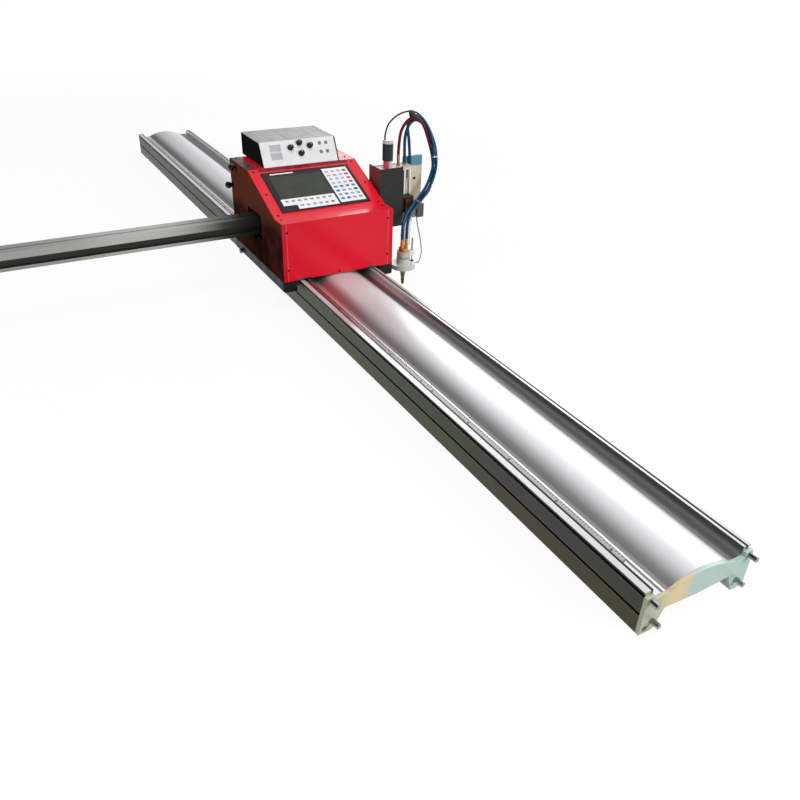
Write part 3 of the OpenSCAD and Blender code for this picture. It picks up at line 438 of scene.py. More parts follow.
# Hoses and cable that bend with the torch, left in place here rather than carried with the slide:
# the end that stays with the beam, and the end on the slide
BENDS = {
    "red_hose": (at(341, 1625, 349), at(250, 1478, 157)),
    "blue_hose_left": (at(341, 1625, 349), at(250, 1478, 157)),
    "blue_hose_right": (at(341, 1625, 349), at(250, 1478, 157)),
    "motor_cable": (at(371, 1591, 400), at(371, 1591, 226)),
}


BRAID_STRANDS, BRAID_TWIST = 8, 2500  # round the hose, and radians per metre along it


def hose_material(name, colour, rough):
    n = base(name, colour, 0.0, rough, 0.0, 0.22)
    u, v = n.axis(0, "UV"), n.axis(1, "UV")
    twist = n.math("MULTIPLY", v, 2 * math.pi * BRAID_STRANDS)
    run = n.math("MULTIPLY", u, BRAID_TWIST)
    one = n.math("SINE", n.math("ADD", run, twist))
    two = n.math("SINE", n.math("SUBTRACT", run, twist))
    braid = n.math("MAXIMUM", one, two)
    cloud = n.ramp(n.noise(60, 3.0),
                   [(0.3, scaled(colour, 0.8)), (0.7, scaled(colour, 1.2))])
    n.colour(n.mix(n.span(braid, -1, 1, 0.18, 0.0), cloud, scaled(colour, 0.45)))
    n.rough(n.span(n.noise(200, 2.0), 0.3, 0.7, rough * 0.85, rough * 1.2))
    n.bump(braid, 0.35, 0.0002)
    return n


# Diameter in millimetres, slot, colour and roughness
HOSE_LOOKS = {
    "red_hose": (9.6, "hose_red", (0.12, 0.005, 0.014), 0.35),
    "blue_hose_left": (9.6, "hose_blue", (0.003, 0.050, 0.105), 0.32),
    # The right blue hose is a lighter, more cyan blue than the left: a painted highlight for the
    # light along the loops' outer side.
    "blue_hose_right": (9.6, "hose_blue", (0.002, 0.060, 0.130), 0.35),
    "motor_cable": (5.0, "cable_black", (0.012, 0.012, 0.013), 0.4),
    "sensor_wire": (3.6, "wire_grey", (0.20, 0.21, 0.20), 0.45),
}
PATHS = {name: [at(*p) for p in curve_points(route)] for name, route in ROUTES.items()}
for name, (diameter, slot_name, colour, rough) in HOSE_LOOKS.items():
    path = PATHS[name]
    mesh = tube_mesh(name + "_tube", path, diameter * MM / 2, 16 if diameter > 4 else 12)
    look = hose_material(name + "_look", colour, rough)
    rider = None if name in BENDS else "torch_slide"
    piece = new_object(name + "_tube", mesh, rider, look)
    if name in BENDS:
        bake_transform(piece)
    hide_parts(name)


def crossing(path, centre, way):
    """Where a path passes the plane through a point, nearest to that point."""
    spots = []
    for a, b in zip(path, path[1:]):
        u, v = (a - centre).dot(way), (b - centre).dot(way)
        if u * v <= 0 and u != v:
            spots.append(a + (b - a) * (u / (u - v)))
    return min(spots, key=lambda p: (p - centre).length)


def along_path(path, start, step):
    """Point and direction on a path, a step in metres from the path's point nearest to a place."""
    i = min(range(len(path)), key=lambda k: (path[k] - start).length)
    way = 1 if step > 0 else -1
    left = abs(step)
    while 0 < i < len(path) - 1 and (path[i + way] - path[i]).length < left:
        left -= (path[i + way] - path[i]).length
        i += way
    run = path[i + way] - path[i]
    return path[i] + run.normalized() * left, run.normalized() * way


def outline_round(centre, way, names, count=32):
    """Points round the hoses that pass a plane, by the angle about their middle."""
    side = way.cross(Vector((0, 1, 0))).normalized()
    up = side.cross(way)
    flat = []
    for name in names:
        p = crossing(PATHS[name], centre, way) - centre
        r = HOSE_LOOKS[name][0] * MM / 2 + 0.0004
        flat += [(p.dot(side) + r * math.cos(k * math.pi / 12),
                  p.dot(up) + r * math.sin(k * math.pi / 12)) for k in range(24)]
    hull = [Vector(flat[k]) for k in convex_hull_2d(flat)]
    middle = sum(hull, Vector((0, 0))) / len(hull)
    made = []
    for k in range(count):
        ray = Vector((math.cos(2 * math.pi * k / count), math.sin(2 * math.pi * k / count)))
        reach = 0.0
        for p, q in zip(hull, hull[1:] + hull[:1]):
            e, w = q - p, p - middle
            turn = ray.x * e.y - ray.y * e.x
            if abs(turn) > 1e-12:
                t = (w.x * e.y - w.y * e.x) / turn
                u = (w.x * ray.y - w.y * ray.x) / turn
                if t > 0 and -1e-6 <= u <= 1 + 1e-6:
                    reach = max(reach, t)
        made.append((middle + ray * reach, ray))
    return side, up, made


def tie(name, hose, place, names, n, wide=4.0, thick=1.2, head=True):
    """A band round the hoses that pass a place of one hose, with a cable tie's small head."""
    half = wide * MM / 2
    steps = max(2, int(wide / 3) + 1)
    bm = bmesh.new()
    inner, outer = [], []
    for i in range(steps):
        centre, way = along_path(PATHS[hose], at(*place), -half + 2 * half * i / (steps - 1))
        side, up, loop = outline_round(centre, way, names)
        for rings, grow in ((inner, 0.0), (outer, thick * MM)):
            rings.append([bm.verts.new(centre + side * (p + ray * grow).x + up * (p + ray * grow).y)
                          for p, ray in loop])
    loops = inner + outer[::-1]
    for a, b in zip(loops, loops[1:] + loops[:1]):
        for k in range(len(a)):
            j = (k + 1) % len(a)
            bm.faces.new((a[k], a[j], b[j], b[k]))
    if head:
        spot = min((v.co for v in outer[0]), key=lambda co: co.y)
        bmesh.ops.create_cube(bm, size=1.0, matrix=Matrix.Translation(spot) @ Matrix.Diagonal(
            (0.0052, 0.0036, 0.0052, 1)))
    piece = new_piece(name, bm, None, n, 40)
    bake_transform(piece)


dark_tie = plastic("dark_tie_look", (0.030, 0.020, 0.014), 0.5)
pale_tie = plastic("pale_tie_look", (0.45, 0.62, 0.70), 0.35)
grey_tie = plastic("grey_tie_look", (0.20, 0.20, 0.20), 0.35)
ALL_HOSES = ("red_hose", "blue_hose_left", "blue_hose_right")
tie("tie_top", "red_hose", (337, 1593, 498), ALL_HOSES + ("motor_cable",), dark_tie,
    12, 0.8, False)
tie("tie_side", "blue_hose_left", (422, 1588, 370), ALL_HOSES + ("motor_cable",), pale_tie,
    3)
tie("tie_low", "blue_hose_left", (337, 1540, 241), ALL_HOSES, grey_tie)


# Looks of the CAD nodes

# Places in the rail's millimetres
NEAR_SIDE, DULL_STRETCH, SHADOW_UNDER_THC, DECK_BACK = (300, 650), (1050, 1300), (1686, 1699), (1613, 1614)
BEAM_FRONT, TORCH_X, TORCH_Y, GEAR_X, LUG_X = 1628, 244, 1471, 242.5, 346
# Heights in metres
SIDE_SPLIT, BAR_FOOT, BAR_GROOVE = (0.0420, 0.0430), (0.0780, 0.0800), (0.0835, 0.0855)
RAIL_SLOT, LOW_SHADE_TOP = (0.0365, 0.0475), (0.225, 0.275)
BEAM_FOOT, BEAM_BAND, BEAM_SLOT = (0.1935, 0.1945), (0.1945, 0.2165), (0.229, 0.2365)
STRIP_FOOT, ARM_TOP, GEAR_TOP = (0.341, 0.343), (0.2075, 0.2085), (0.3775, 0.3785)
# Distances in metres: from the rail's middle, and the clamp's from the torch
ARCH, ARCH_EDGE, SLOT_MOUTH = (-0.040, 0.066), 0.012, (0.1195, 0.1278)
BEND_HIGHLIGHT, FOLD_SHADE_EDGE = (0.1655, 0.1680), (0.1675, 0.1700)
LEFT_EDGE, PANEL_EDGE, CLAMP_EDGE = (-0.152, -0.142), (0.1228, 0.1236), (0.0215, 0.0225)


def green_side(n):
    """Outer sides of rail and bars: a painted reflection, dull dark green for the dark surroundings
    they mirror; a little darker above mid-height, browner near the near end, grey above the bars'
    foot and pale along the bars' groove.
    """
    z = n.axis(2)
    lines = n.noise((3, 3, 900), 3.0)
    near = n.span(n.axis(1), *map(row_y, NEAR_SIDE), 1.0, 0.0, True)
    low = n.mix(near, (0.058, 0.074, 0.041), (0.063, 0.056, 0.035))
    high = n.mix(near, (0.048, 0.064, 0.039), (0.052, 0.053, 0.047))
    tone = n.times(n.ramp(lines, [(0.3, grey(0.82)), (0.7, grey(1.15))]),
                   n.mix(n.span(z, *SIDE_SPLIT, 0.0, 1.0), low, high))
    tone = n.mix(n.span(z, *BAR_FOOT, 0.0, 1.0), tone, (0.050, 0.050, 0.048))
    return n.mix(n.inside(z, *BAR_GROOVE), tone, (0.22, 0.22, 0.21))


def outer_side(n):
    """1 on faces that look outward, away from the rail's centre line."""
    return n.math("MULTIPLY", n.span(n.math("ABSOLUTE", n.axis(0, "Normal")), 0.8, 0.95, 0.0, 1.0),
                  n.math("GREATER_THAN", n.math("ABSOLUTE", n.across()), 0.122))


def grey(value):
    return (value, value, value * 1.01)


def by_place(n, value, stops):
    """Greys between places in millimetres."""
    low, high = stops[0][0], stops[-1][0]
    return n.ramp(n.span(value, low * MM, high * MM, 0.0, 1.0),
                  [((x - low) / (high - low), grey(tone)) for x, tone in stops])


def duller(n, rough, far_rough, metallic, far_metallic, where):
    """Duller metal towards the carriage, within the strip that the mask where gives."""
    along = n.span(n.axis(1), *map(row_y, DULL_STRETCH), 0.0, 1.0, True)
    amount = n.math("MULTIPLY", along, where)
    n.rough(n.span(amount, 0.0, 1.0, rough, far_rough))
    n.put("Metallic", n.span(amount, 0.0, 1.0, metallic, far_metallic))


def rail_look():
    """Drawn aluminium: bright arch with painted shade on its left flank, lines and painted shade in
    the valleys, painted shade in the side slot, and dark green outer sides that are a painted
    reflection.
    """
    n = metal("rail_look", (0.80, 0.80, 0.81), 0.42, (900, 5, 900), 0.05, 0.04)
    n.put("Specular IOR Level", 0.2)
    # Painted shade: darker in the valleys and across the arch's left flank, with light and dark
    # lines along the left valley.
    shade = by_place(n, n.across(), [
        (-109, 0.75), (-88.7, 0.75), (-87.9, 0.20), (-82.8, 0.20), (-81.8, 0.95), (-78.4, 0.95),
        (-77.8, 0.80), (-73, 0.78), (-70, 0.42), (-60, 0.43), (-52, 0.54), (-44, 0.63),
        (-36, 0.69), (-28, 0.73), (68, 0.74), (76, 0.36), (80, 0.20), (86, 0.15), (92, 0.18),
        (98, 0.30), (104, 0.80), (108, 0.85)])
    lines = n.ramp(n.noise((900, 5, 900), 5.0), [(0.3, grey(0.94)), (0.7, grey(1.0))])
    both = n.times(shade, lines)
    # Painted shade inside the slot along the rail's side.
    slot = n.math("MULTIPLY", n.inside(n.axis(2), *RAIL_SLOT),
                  n.inside(n.math("ABSOLUTE", n.across()), *SLOT_MOUTH))
    tone = n.mix(outer_side(n), both, green_side(n))
    n.colour(n.mix(slot, tone, (0.13, 0.12, 0.085)))
    duller(n, 0.42, 0.60, 0.85, 0.45, n.inside(n.across(), *ARCH, ARCH_EDGE))
    return n


def bar_look():
    """Ground steel with a dark line on each top, a shaded inner side and a dark outer side that is
    a painted reflection.
    """
    n = metal("bar_look", (0.86, 0.86, 0.88), 0.20, (900, 6, 900), 0.05, 0.05)
    top = by_place(n, n.across(), [
        (-128, 0.68), (-114.8, 0.68), (-114.2, 0.02), (-110.2, 0.02), (-109.6, 0.68),
        (-109.3, 0.68), (-109, 0.10), (109, 0.50), (114.4, 0.50), (114.8, 0.012), (119.8, 0.012),
        (120.2, 0.50), (128, 0.50)])
    inner = by_place(n, n.axis(2), [(76, 0.62), (83, 0.55), (86, 0.75), (89, 0.88), (92, 0.88)])
    upright = n.span(n.math("ABSOLUTE", n.axis(0, "Normal")), 0.5, 0.7, 0.0, 1.0)
    tone = n.mix(upright, top, inner)
    n.colour(n.mix(outer_side(n), tone, green_side(n)))
    duller(n, 0.20, 0.50, 1.0, 0.45, 1.0)
    return n


def plate_look():
    """Satin plate with a painted reflection: a soft warm glow left of its middle."""
    n = metal("plate_look", (0.42, 0.56, 0.50), 0.42, (60, 60, 900), 0.05, 0.05)
    n.put("Metallic", 0.15)
    cool = n.painted()
    x = n.axis(0)
    tint = -MID.x * MM - 0.055
    far = n.math("ABSOLUTE", n.math("SUBTRACT", x, tint))
    # Painted reflection: a warm glow on the plate, left of its middle.
    warm = n.span(far, 0.005, 0.05, 0.85, 0.0, True)
    leg = n.mix(n.span(x, tint - 0.03, tint - 0.01, 0.75, 0.0, True), cool, (0.42, 0.44, 0.29))
    n.colour(n.mix(warm, leg, (0.74, 0.56, 0.28)))
    return n


RED = (0.72, 0.008, 0.026)
steel_look = metal("steel_look", (0.45, 0.46, 0.48), 0.3, (60, 60, 60), 0.1, 0.1)
rack_look = metal("rack_look", (0.36, 0.36, 0.37), 0.34, (600, 20, 600), 0.15, 0.1)
inner_look = metal("inner_look", (0.16, 0.165, 0.17), 0.4, (80, 80, 80), 0.15, 0.1)
red_look = paint("red_look", RED, 0.34, 0.4, dust=0.01, specular=0.1)
black_look = paint("black_look", (0.012, 0.012, 0.013), 0.42)
soft_black = plastic("soft_black", (0.012, 0.012, 0.013), 0.45)
gloss_black = plastic("gloss_black", (0.010, 0.010, 0.011), 0.22, coat=0.3)
screw_look = metal("screw_look", (0.035, 0.03, 0.03), 0.38, (300, 300, 300), 0.2, 0.1)
brass_look = metal("brass_look", (0.50, 0.29, 0.13), 0.3, (300, 300, 60), 0.18, 0.1)
white_look = plastic("white_look", (0.82, 0.82, 0.85), 0.35)

dress("rail", rail_look())
dress("guide_bars", bar_look())
dress("rail_rack", rack_look)
plate = plate_look()
dress("near_end_plate", plate)
dress("far_end_plate", plate)
dress("joining_pins", metal("pin_look", (0.34, 0.35, 0.34), 0.25, (60, 900, 60), 0.1, 0.1))
for name in ("chassis", "axles", "beam_guides", "lift_screw"):
    dress(name, inner_look)
dress("guide_brackets", black_look)
for name in ("right_side_plate", "rear_cover"):
    dress(name, red_look)


def top_look():
    """The red paint, dull and dark along the left edge."""
    n = paint("top_look", RED, 0.34, 0.4, dust=0.01, specular=0.1)
    red = n.painted()
    left = n.span(n.across(), *LEFT_EDGE, 1.0, 0.0)
    n.colour(n.mix(left, red, (0.11, 0.045, 0.042)))
    n.put("Coat Weight", n.span(left, 0.0, 1.0, 0.4, 0.0))
    return n


dress("top_cover", top_look())


def front_look():
    """The red paint with painted light on the folded edge of the front, a painted highlight on the
    bend line and painted shade on the strip beyond it, and a painted shadow along the slope's top
    under the height controller.
    """
    n = paint("front_look", RED, 0.34, 0.4, dust=0.01, specular=0.1)
    red = n.painted()
    front = n.span(n.axis(1, "Normal"), -0.98, -0.9, 1.0, 0.0)
    x = n.math("ABSOLUTE", n.across())
    # Painted shade on the front's outer strip, and a painted highlight on its bend line.
    strip = n.math("MULTIPLY", front, n.span(x, *FOLD_SHADE_EDGE, 0.0, 1.0))
    line = n.math("MULTIPLY", front, n.inside(x, *BEND_HIGHLIGHT, 0.0008))
    tone = n.mix(line, n.mix(strip, red, scaled(RED, 0.80)), (0.82, 0.06, 0.09))
    # Painted shadow under the height controller's front, along the top of the slope.
    upper = n.math("MULTIPLY", n.inside(n.axis(1), *map(row_y, SHADOW_UNDER_THC), 0.002),
                   n.inside(n.across(), -0.150, 0.152, 0.004))
    n.colour(n.mix(upper, tone, (0.13, 0.006, 0.012)))
    return n


dress("front_cover", front_look())


def side_look():
    """Painted shade: a dark red plate, a darkened copy of the side plates' red, nearly black and
    mottled in its lower part.
    """
    n = paint("side_look", (0.125, 0.036, 0.021), 0.5, dust=0.0, specular=0.0)
    upper = n.painted()
    # Mottled painted shade, nearly black, for the lower part.
    mottle = n.ramp(n.noise(22, 5.0),
                    [(0.35, (0.022, 0.010, 0.007)), (0.65, (0.070, 0.017, 0.013))])
    height = n.math("ADD", n.axis(2), n.span(n.noise(9, 3.0), 0.3, 0.7, -0.02, 0.02))
    n.colour(n.mix(n.span(height, *LOW_SHADE_TOP, 1.0, 0.0, True), upper, mottle))
    return n


dress("left_side_plate", side_look())
dress("control_unit", plastic("unit_look", (0.011, 0.011, 0.013), 0.3, 2400, 0.08, 0.1))


def screen_look():
    """Switched-off display: dark green-grey glass with a faint vignette."""
    n = base("screen_look", (0.032, 0.036, 0.028), 0.0, 0.14, 0.1, 0.25)
    n.colour(n.ramp(n.noise(12, 2.0),
                    [(0.3, (0.026, 0.030, 0.023)), (0.7, (0.040, 0.046, 0.036))]))
    n.rough(n.span(n.noise(90, 2.0), 0.3, 0.7, 0.10, 0.16))
    n.bump(n.noise(3000, 1.0), 0.02)
    return n


dress("screen", screen_look())
dress("keypad", white_look)
dress("thc_case", paint("case_look", (0.010, 0.010, 0.0085), 0.6, 0.0, 2500, 0.25, specular=0.0))


def lid_look():
    """Grey lid with long soft darker streaks, a painted reflection."""
    n = paint("lid_look", (0.37, 0.37, 0.36), 0.4, 0.0, 1500, 0.15)
    plain = n.painted()
    # Painted reflection: long soft darker streaks across the lid.
    streaks = n.span(n.noise((60, 5, 5), 3.0, -28), 0.42, 0.68, 0.0, 0.6)
    n.colour(n.mix(streaks, plain, (0.20, 0.20, 0.195)))
    return n


dress("thc_lid", lid_look())


def thc_panel_look():
    """White panel with a thin dark edge on its right."""
    n = plastic("thc_panel_look", (0.74, 0.75, 0.76), 0.32)
    white = n.painted()
    n.colour(n.mix(n.span(n.across(), *PANEL_EDGE, 0.0, 1.0), white, (0.05, 0.05, 0.05)))
    return n


dress("thc_front_panel", thc_panel_look())
for name in ("drive_motor", "beam_motor"):
    dress(name, black_look)
for kind in ("load_wheel", "guide_roller"):
    for corner in ("front_left", "front_right", "rear_left", "rear_right"):
        dress(f"{kind}_{corner}", steel_look)
for name in ("drive_pinion", "beam_pinion", "beam_rack"):
    dress(name, rack_look)
for name in ("clutch_knob_upper", "clutch_knob_lower"):
    dress(name, gloss_black)
dress("beam_end_caps", soft_black)


def beam_look():
    """Anodised profile with painted shade: a dark band in the front groove, a dark line in the top
    slot, and darkening near and inside the carriage; also darker towards its far left end and a
    little darker below its foot line.
    """
    n = metal("beam_look", (0.66, 0.67, 0.63), 0.40, (5, 900, 900), 0.08, 0.06)
    n.put("Metallic", 0.55)
    n.put("Specular IOR Level", 0.2)
    plain = n.painted()
    y, z = n.axis(1), n.axis(2)
    front = row_y(BEAM_FRONT)
    # Painted shade inside the front groove and the top slot.
    band = n.math("MULTIPLY", n.inside(y, front - 0.001, front + 0.009),
                  n.inside(z, *BEAM_BAND))
    slot = n.math("MULTIPLY", n.inside(y, front + 0.0282, front + 0.0338),
                  n.inside(z, *BEAM_SLOT))
    dark = n.math("MAXIMUM", band, slot)
    # Painted shade along the beam near and inside the carriage; darker also towards its far left
    # end.
    tone = by_place(n, n.across(), [
        (-900, 0.60), (-800, 0.61), (-700, 0.66), (-600, 0.79), (-480, 0.80), (-430, 0.72),
        (-363, 0.49), (-320, 0.25), (-287, 0.10), (-240, 0.06), (190, 0.06), (215, 0.75),
        (400, 0.75)])
    low = n.mix(n.span(z, *BEAM_FOOT, 1.0, 0.0), tone, n.times(tone, (0.8, 0.8, 0.78)))
    n.colour(n.mix(dark, n.times(plain, low), (0.036, 0.039, 0.034)))
    return n


dress("beam", beam_look())


def base_plate_look():
    """Beige-grey plate whose top strip is blue-grey; the decks are a pale cream."""
    n = metal("base_plate_look", (0.68, 0.60, 0.45), 0.5, (60, 60, 300), 0.1, 0.1)
    n.put("Metallic", 0.15)
    n.put("Specular IOR Level", 0.2)
    plain = n.painted()
    top = n.span(n.axis(2), *STRIP_FOOT, 0.0, 1.0)
    decks = n.span(n.axis(1), *map(row_y, DECK_BACK), 1.0, 0.0)
    strip = n.mix(top, plain, (0.12, 0.28, 0.37))
    n.colour(n.mix(decks, strip, (0.66, 0.58, 0.50)))
    return n


dress("lifter_base", base_plate_look())


def cover_look():
    """Black sheet whose left side is a dark maroon."""
    n = paint("cover_look", (0.030, 0.031, 0.030), 0.42, 0.0, 1400, 0.12)
    black = n.painted()
    n.colour(n.mix(n.span(n.axis(0, "Normal"), -0.9, -0.7, 1.0, 0.0), black, (0.15, 0.040, 0.036)))
    return n


dress("lifter_cover", cover_look())
dress("guide_rods", metal("rod_look", (0.85, 0.86, 0.88), 0.1, (60, 60, 900), 0.04, 0.03))


BLOCK_BROWN = (0.050, 0.027, 0.019)


def block_look():
    """Dark brown block with an olive-grey lug on its right."""
    n = paint("block_look", BLOCK_BROWN, 0.42)
    brown = n.painted()
    lug = n.span(n.across(LUG_X), -0.0005, 0.0005, 0.0, 1.0)
    n.colour(n.mix(lug, brown, (0.115, 0.108, 0.085)))
    return n


def arm_look():
    """Pale satin arm with a slightly darker clamp round the torch."""
    n = metal("arm_look", (0.80, 0.79, 0.76), 0.42, (60, 60, 300), 0.05, 0.05)
    n.put("Metallic", 0.3)
    pale = n.painted()
    dx = n.across(TORCH_X)
    dy = n.math("SUBTRACT", n.axis(1), row_y(TORCH_Y))
    r = n.math("SQRT", n.math("ADD", n.math("MULTIPLY", dx, dx), n.math("MULTIPLY", dy, dy)))
    tone = n.mix(n.span(r, *CLAMP_EDGE, 1.0, 0.0), pale, (0.56, 0.50, 0.44))
    n.colour(n.mix(n.span(n.axis(2), *ARM_TOP, 0.0, 1.0), tone, BLOCK_BROWN))
    return n


dress("slide_block", block_look())
dress("torch_arm", arm_look())


def banded(name, bands, metallic, rough):
    """A look that changes with height: bands are (height in mm, colour)."""
    n = base(name, bands[0][1], metallic, rough)
    z = n.axis(2)
    socket = None
    for height, colour in bands:
        grain = n.ramp(n.noise(300, 3.0),
                       [(0.3, scaled(colour, 0.85)), (0.7, scaled(colour, 1.1))])
        if socket is None:
            socket = grain
        else:
            above = n.span(z, (height - 0.2) * MM, (height + 0.2) * MM, 0.0, 1.0)
            socket = n.mix(above, socket, grain)
    n.colour(socket)
    n.bump(n.noise(400, 2.0), 0.1, 0.0001)
    return n


dress("torch", banded("torch_look", [
    (0, (0.045, 0.034, 0.012)), (24, (0.12, 0.095, 0.04)), (44, (0.20, 0.13, 0.06)),
    (58, (0.60, 0.60, 0.58)), (118, (0.66, 0.32, 0.10))], 0.8, 0.34))


def motor_look():
    """Black motor with a silver cap; the gear head is red on the left and silver on the right."""
    n = banded("lift_motor_look", [(0, (0.60, 0.55, 0.50)), (378, (0.014, 0.014, 0.018)),
                                   (430, (0.52, 0.50, 0.50))], 0.2, 0.3)
    tone = n.painted()
    low = n.math("MULTIPLY", n.span(n.axis(2), *GEAR_TOP, 1.0, 0.0),
                 n.span(n.across(GEAR_X), -0.004, 0.000, 1.0, 0.0))
    n.colour(n.mix(low, tone, (0.56, 0.075, 0.11)))
    return n


dress("lift_motor", motor_look())
dress("sensor_ring", banded("ring_look", [
    (0, (0.58, 0.60, 0.59)), (95, (0.22, 0.23, 0.22))], 0.2, 0.35))
dress("gas_fittings", brass_look)


WELD, CHAMFER_ANGLE, NORMAL_WEIGHT = 0.00001, 50, 80


def crisp(name, width, split_angle=28):
    """Joins the imported faces, breaks the sharp edges with a small chamfer and shades by angle."""
    piece = nodes[name]
    weld = piece.modifiers.new("weld", "WELD")
    weld.merge_threshold = WELD
    if width:
        bevel = piece.modifiers.new("chamfer", "BEVEL")
        bevel.width = width * MM
        bevel.limit_method = "ANGLE"
        bevel.angle_limit = math.radians(CHAMFER_ANGLE)
        bevel.use_clamp_overlap = True
    piece.data.polygons.foreach_set("use_smooth", [True] * len(piece.data.polygons))
    split = piece.modifiers.new("split", "EDGE_SPLIT")
    split.split_angle = math.radians(split_angle)
    weighted = piece.modifiers.new("weighted", "WEIGHTED_NORMAL")
    weighted.weight = NORMAL_WEIGHT


# Width of the chamfer on each node's sharp edges, in millimetres
CHAMFERS = {
    "front_cover": 0.8, "right_side_plate": 0.5, "left_side_plate": 0.5, "top_cover": 0.5,
    "rear_cover": 0.5, "control_unit": 0.7, "thc_lid": 0.5, "thc_front_panel": 0.4,
    "lifter_base": 0.6, "lifter_cover": 0.4, "slide_block": 0.6, "guide_brackets": 1.0,
    "near_end_plate": 0.5, "far_end_plate": 0.5, "beam_end_caps": 0.6, "screen": 0.2,
    "rail": 0, "guide_bars": 0, "beam": 0, "chassis": 0.6, "joining_pins": 0, "lift_motor": 0.5,
    "torch": 0, "sensor_ring": 0.5, "torch_arm": 0.5, "gas_fittings": 0.4, "guide_rods": 0,
}
for name, width in CHAMFERS.items():
    crisp(name, width, split_angle=18 if name == "rail" else 28)
for name in nodes:
    if name not in CHAMFERS and not nodes[name].hide_render:
        crisp(name, 0)


# Places on the slope and on the height controller's front: foot, and rise and run as in part.scad

SLOPE = Matrix.Translation(at(0, 1700, 362)) @ Matrix.Rotation(math.atan2(88, 213), 4, "X")
THC_FACE = Matrix.Translation(at(0, 1702, 362)) @ Matrix.Rotation(math.atan2(68, 36), 4, "X")


# Keys of the control unit

KEY_COLOURS = {
    "grey": (0.42, 0.46, 0.44), "red": (0.52, 0.03, 0.06), "blue": (0.05, 0.24, 0.45),
    "deep_blue": (0.02, 0.14, 0.42), "pale_blue": (0.16, 0.38, 0.56), "pink": (0.50, 0.34, 0.36),
    "black": (0.02, 0.02, 0.025), "violet": (0.30, 0.32, 0.42), "dull": (0.30, 0.31, 0.33),
}
KEY_LOOKS = {k: plastic("key_" + k, c, 0.35, 1500, 0.05) for k, c in KEY_COLOURS.items()}
KEY_FOOT, KEY_TOP = 3.8, 4.5
KEY_STEP, KEY_ROW = 20, 18.6
RIGHT_KEYS = [
    ["grey", "grey", "grey", "red"], ["grey", "pink", "grey", "red"],
    ["grey", "grey", "grey", "red"], ["grey", "grey", "grey", "red"],
    ["blue", "blue", "blue", "blue"], ["deep_blue", "violet", "pink", "black"],
    ["pale_blue", "blue", "pink", "pale_blue"], ["blue", "deep_blue", "pale_blue", "dull"],
]


def keys_of(colour, spots):
    bm = bmesh.new()
    for x, s, w, h in spots:
        slab(bm, rounded(x, -s, w, h, 1.2), KEY_FOOT, KEY_TOP, SLOPE, 0.3)
    return new_piece("keys_" + colour, bm, "carriage", KEY_LOOKS[colour], 25)


spots = {}
for row, line in enumerate(RIGHT_KEYS):
    for column, colour in enumerate(line):
        spots.setdefault(colour, []).append((58.5 + column * KEY_STEP, 54 + row * KEY_ROW, 12, 9))
for column in range(8):
    x = -118 + column * KEY_STEP
    spots.setdefault("dull", []).append((x, 167.5, 11, 8))
    if column > 1:
        colour = "red" if column == 7 else "dull"
        spots.setdefault(colour, []).append((x, 190.5, 11, 8))
made = [keys_of(colour, places) for colour, places in spots.items()]
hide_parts("panel_keys")


# Bare label strip and rim of the screen

def strip_piece():
    bm = bmesh.new()
    slab(bm, rounded(-85, -37, 76, 5, 0.6), 3.0, 3.4, SLOPE, 0.15)
    new_piece("label_strip", bm, "carriage", white_look)


def rim_piece():
    bm = bmesh.new()
    for x, s, w, h in ((-44.25, 47.2, 170, 1.4), (-44.25, 150.8, 170, 1.4),
                       (-128.8, 99, 1.4, 105), (40.3, 99, 1.4, 105)):
        slab(bm, rounded(x, -s, w, h, 0.3), 2.6, 3.5, SLOPE, 0.3)
    new_piece("screen_rim", bm, "carriage",
              plastic("rim_look", (0.07, 0.075, 0.075), 0.25))


strip_piece()
rim_piece()


# Height controller's windows, lamps, knob pointers and dial marks: places (x, height) on its front

WINDOWS = ((-78, 56), (-78, 31))
INDICATORS = ((72, 59), (94, 59), (72, 32), (94, 32))
KNOBS = ((-28, 53), (3, 65), (37, 54), (4, 33))
DIAL_RADIUS, DIAL_TOP, MARK_STEP = 11.5, 75.5, 27
PANEL = 2.5  # height of the pieces' feet, a little under the panel's face


def on_panel(name, bm, n):
    return new_piece(name, bm, "carriage", n)


def thc_windows():
    bm = bmesh.new()
    for x, t in WINDOWS:
        slab(bm, rounded(x, t, 34, 18, 1.0), PANEL, 3.3, THC_FACE, 0.3)
    windows = on_panel("display_windows", bm,
                       plastic("window_look", (0.42, 0.43, 0.44), 0.15, 2500, 0.03, 0.8))
    bm = bmesh.new()
    for x, t in WINDOWS:
        for dx, dt, w, h in ((0, 10, 38, 2), (0, -10, 38, 2), (18, 0, 2, 18), (-18, 0, 2, 18)):
            slab(bm, rounded(x + dx, t + dt, w, h, 0.5), PANEL, 3.6, THC_FACE, 0.3)
    on_panel("display_rims", bm, plastic("window_rim", (0.55, 0.56, 0.57), 0.4))
    frames = bmesh.new()
    lenses = bmesh.new()
    for x, t in INDICATORS:
        slab(frames, rounded(x, t, 10, 10, 0.8), PANEL, 3.2, THC_FACE, 0.3)
        for dx in (-2.2, 2.2):
            for dt in (-2.2, 2.2):
                slab(lenses, rounded(x + dx, t + dt, 2.6, 2.6, 0.4), 3.1, 3.5, THC_FACE, 0.2)
    on_panel("lamp_frames", frames, plastic("lamp_frame_look", (0.06, 0.06, 0.06), 0.4))
    on_panel("lamp_lenses", lenses, plastic("lamp_lens_look", (0.42, 0.43, 0.42), 0.2, coat=0.5))
    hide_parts("thc_windows")


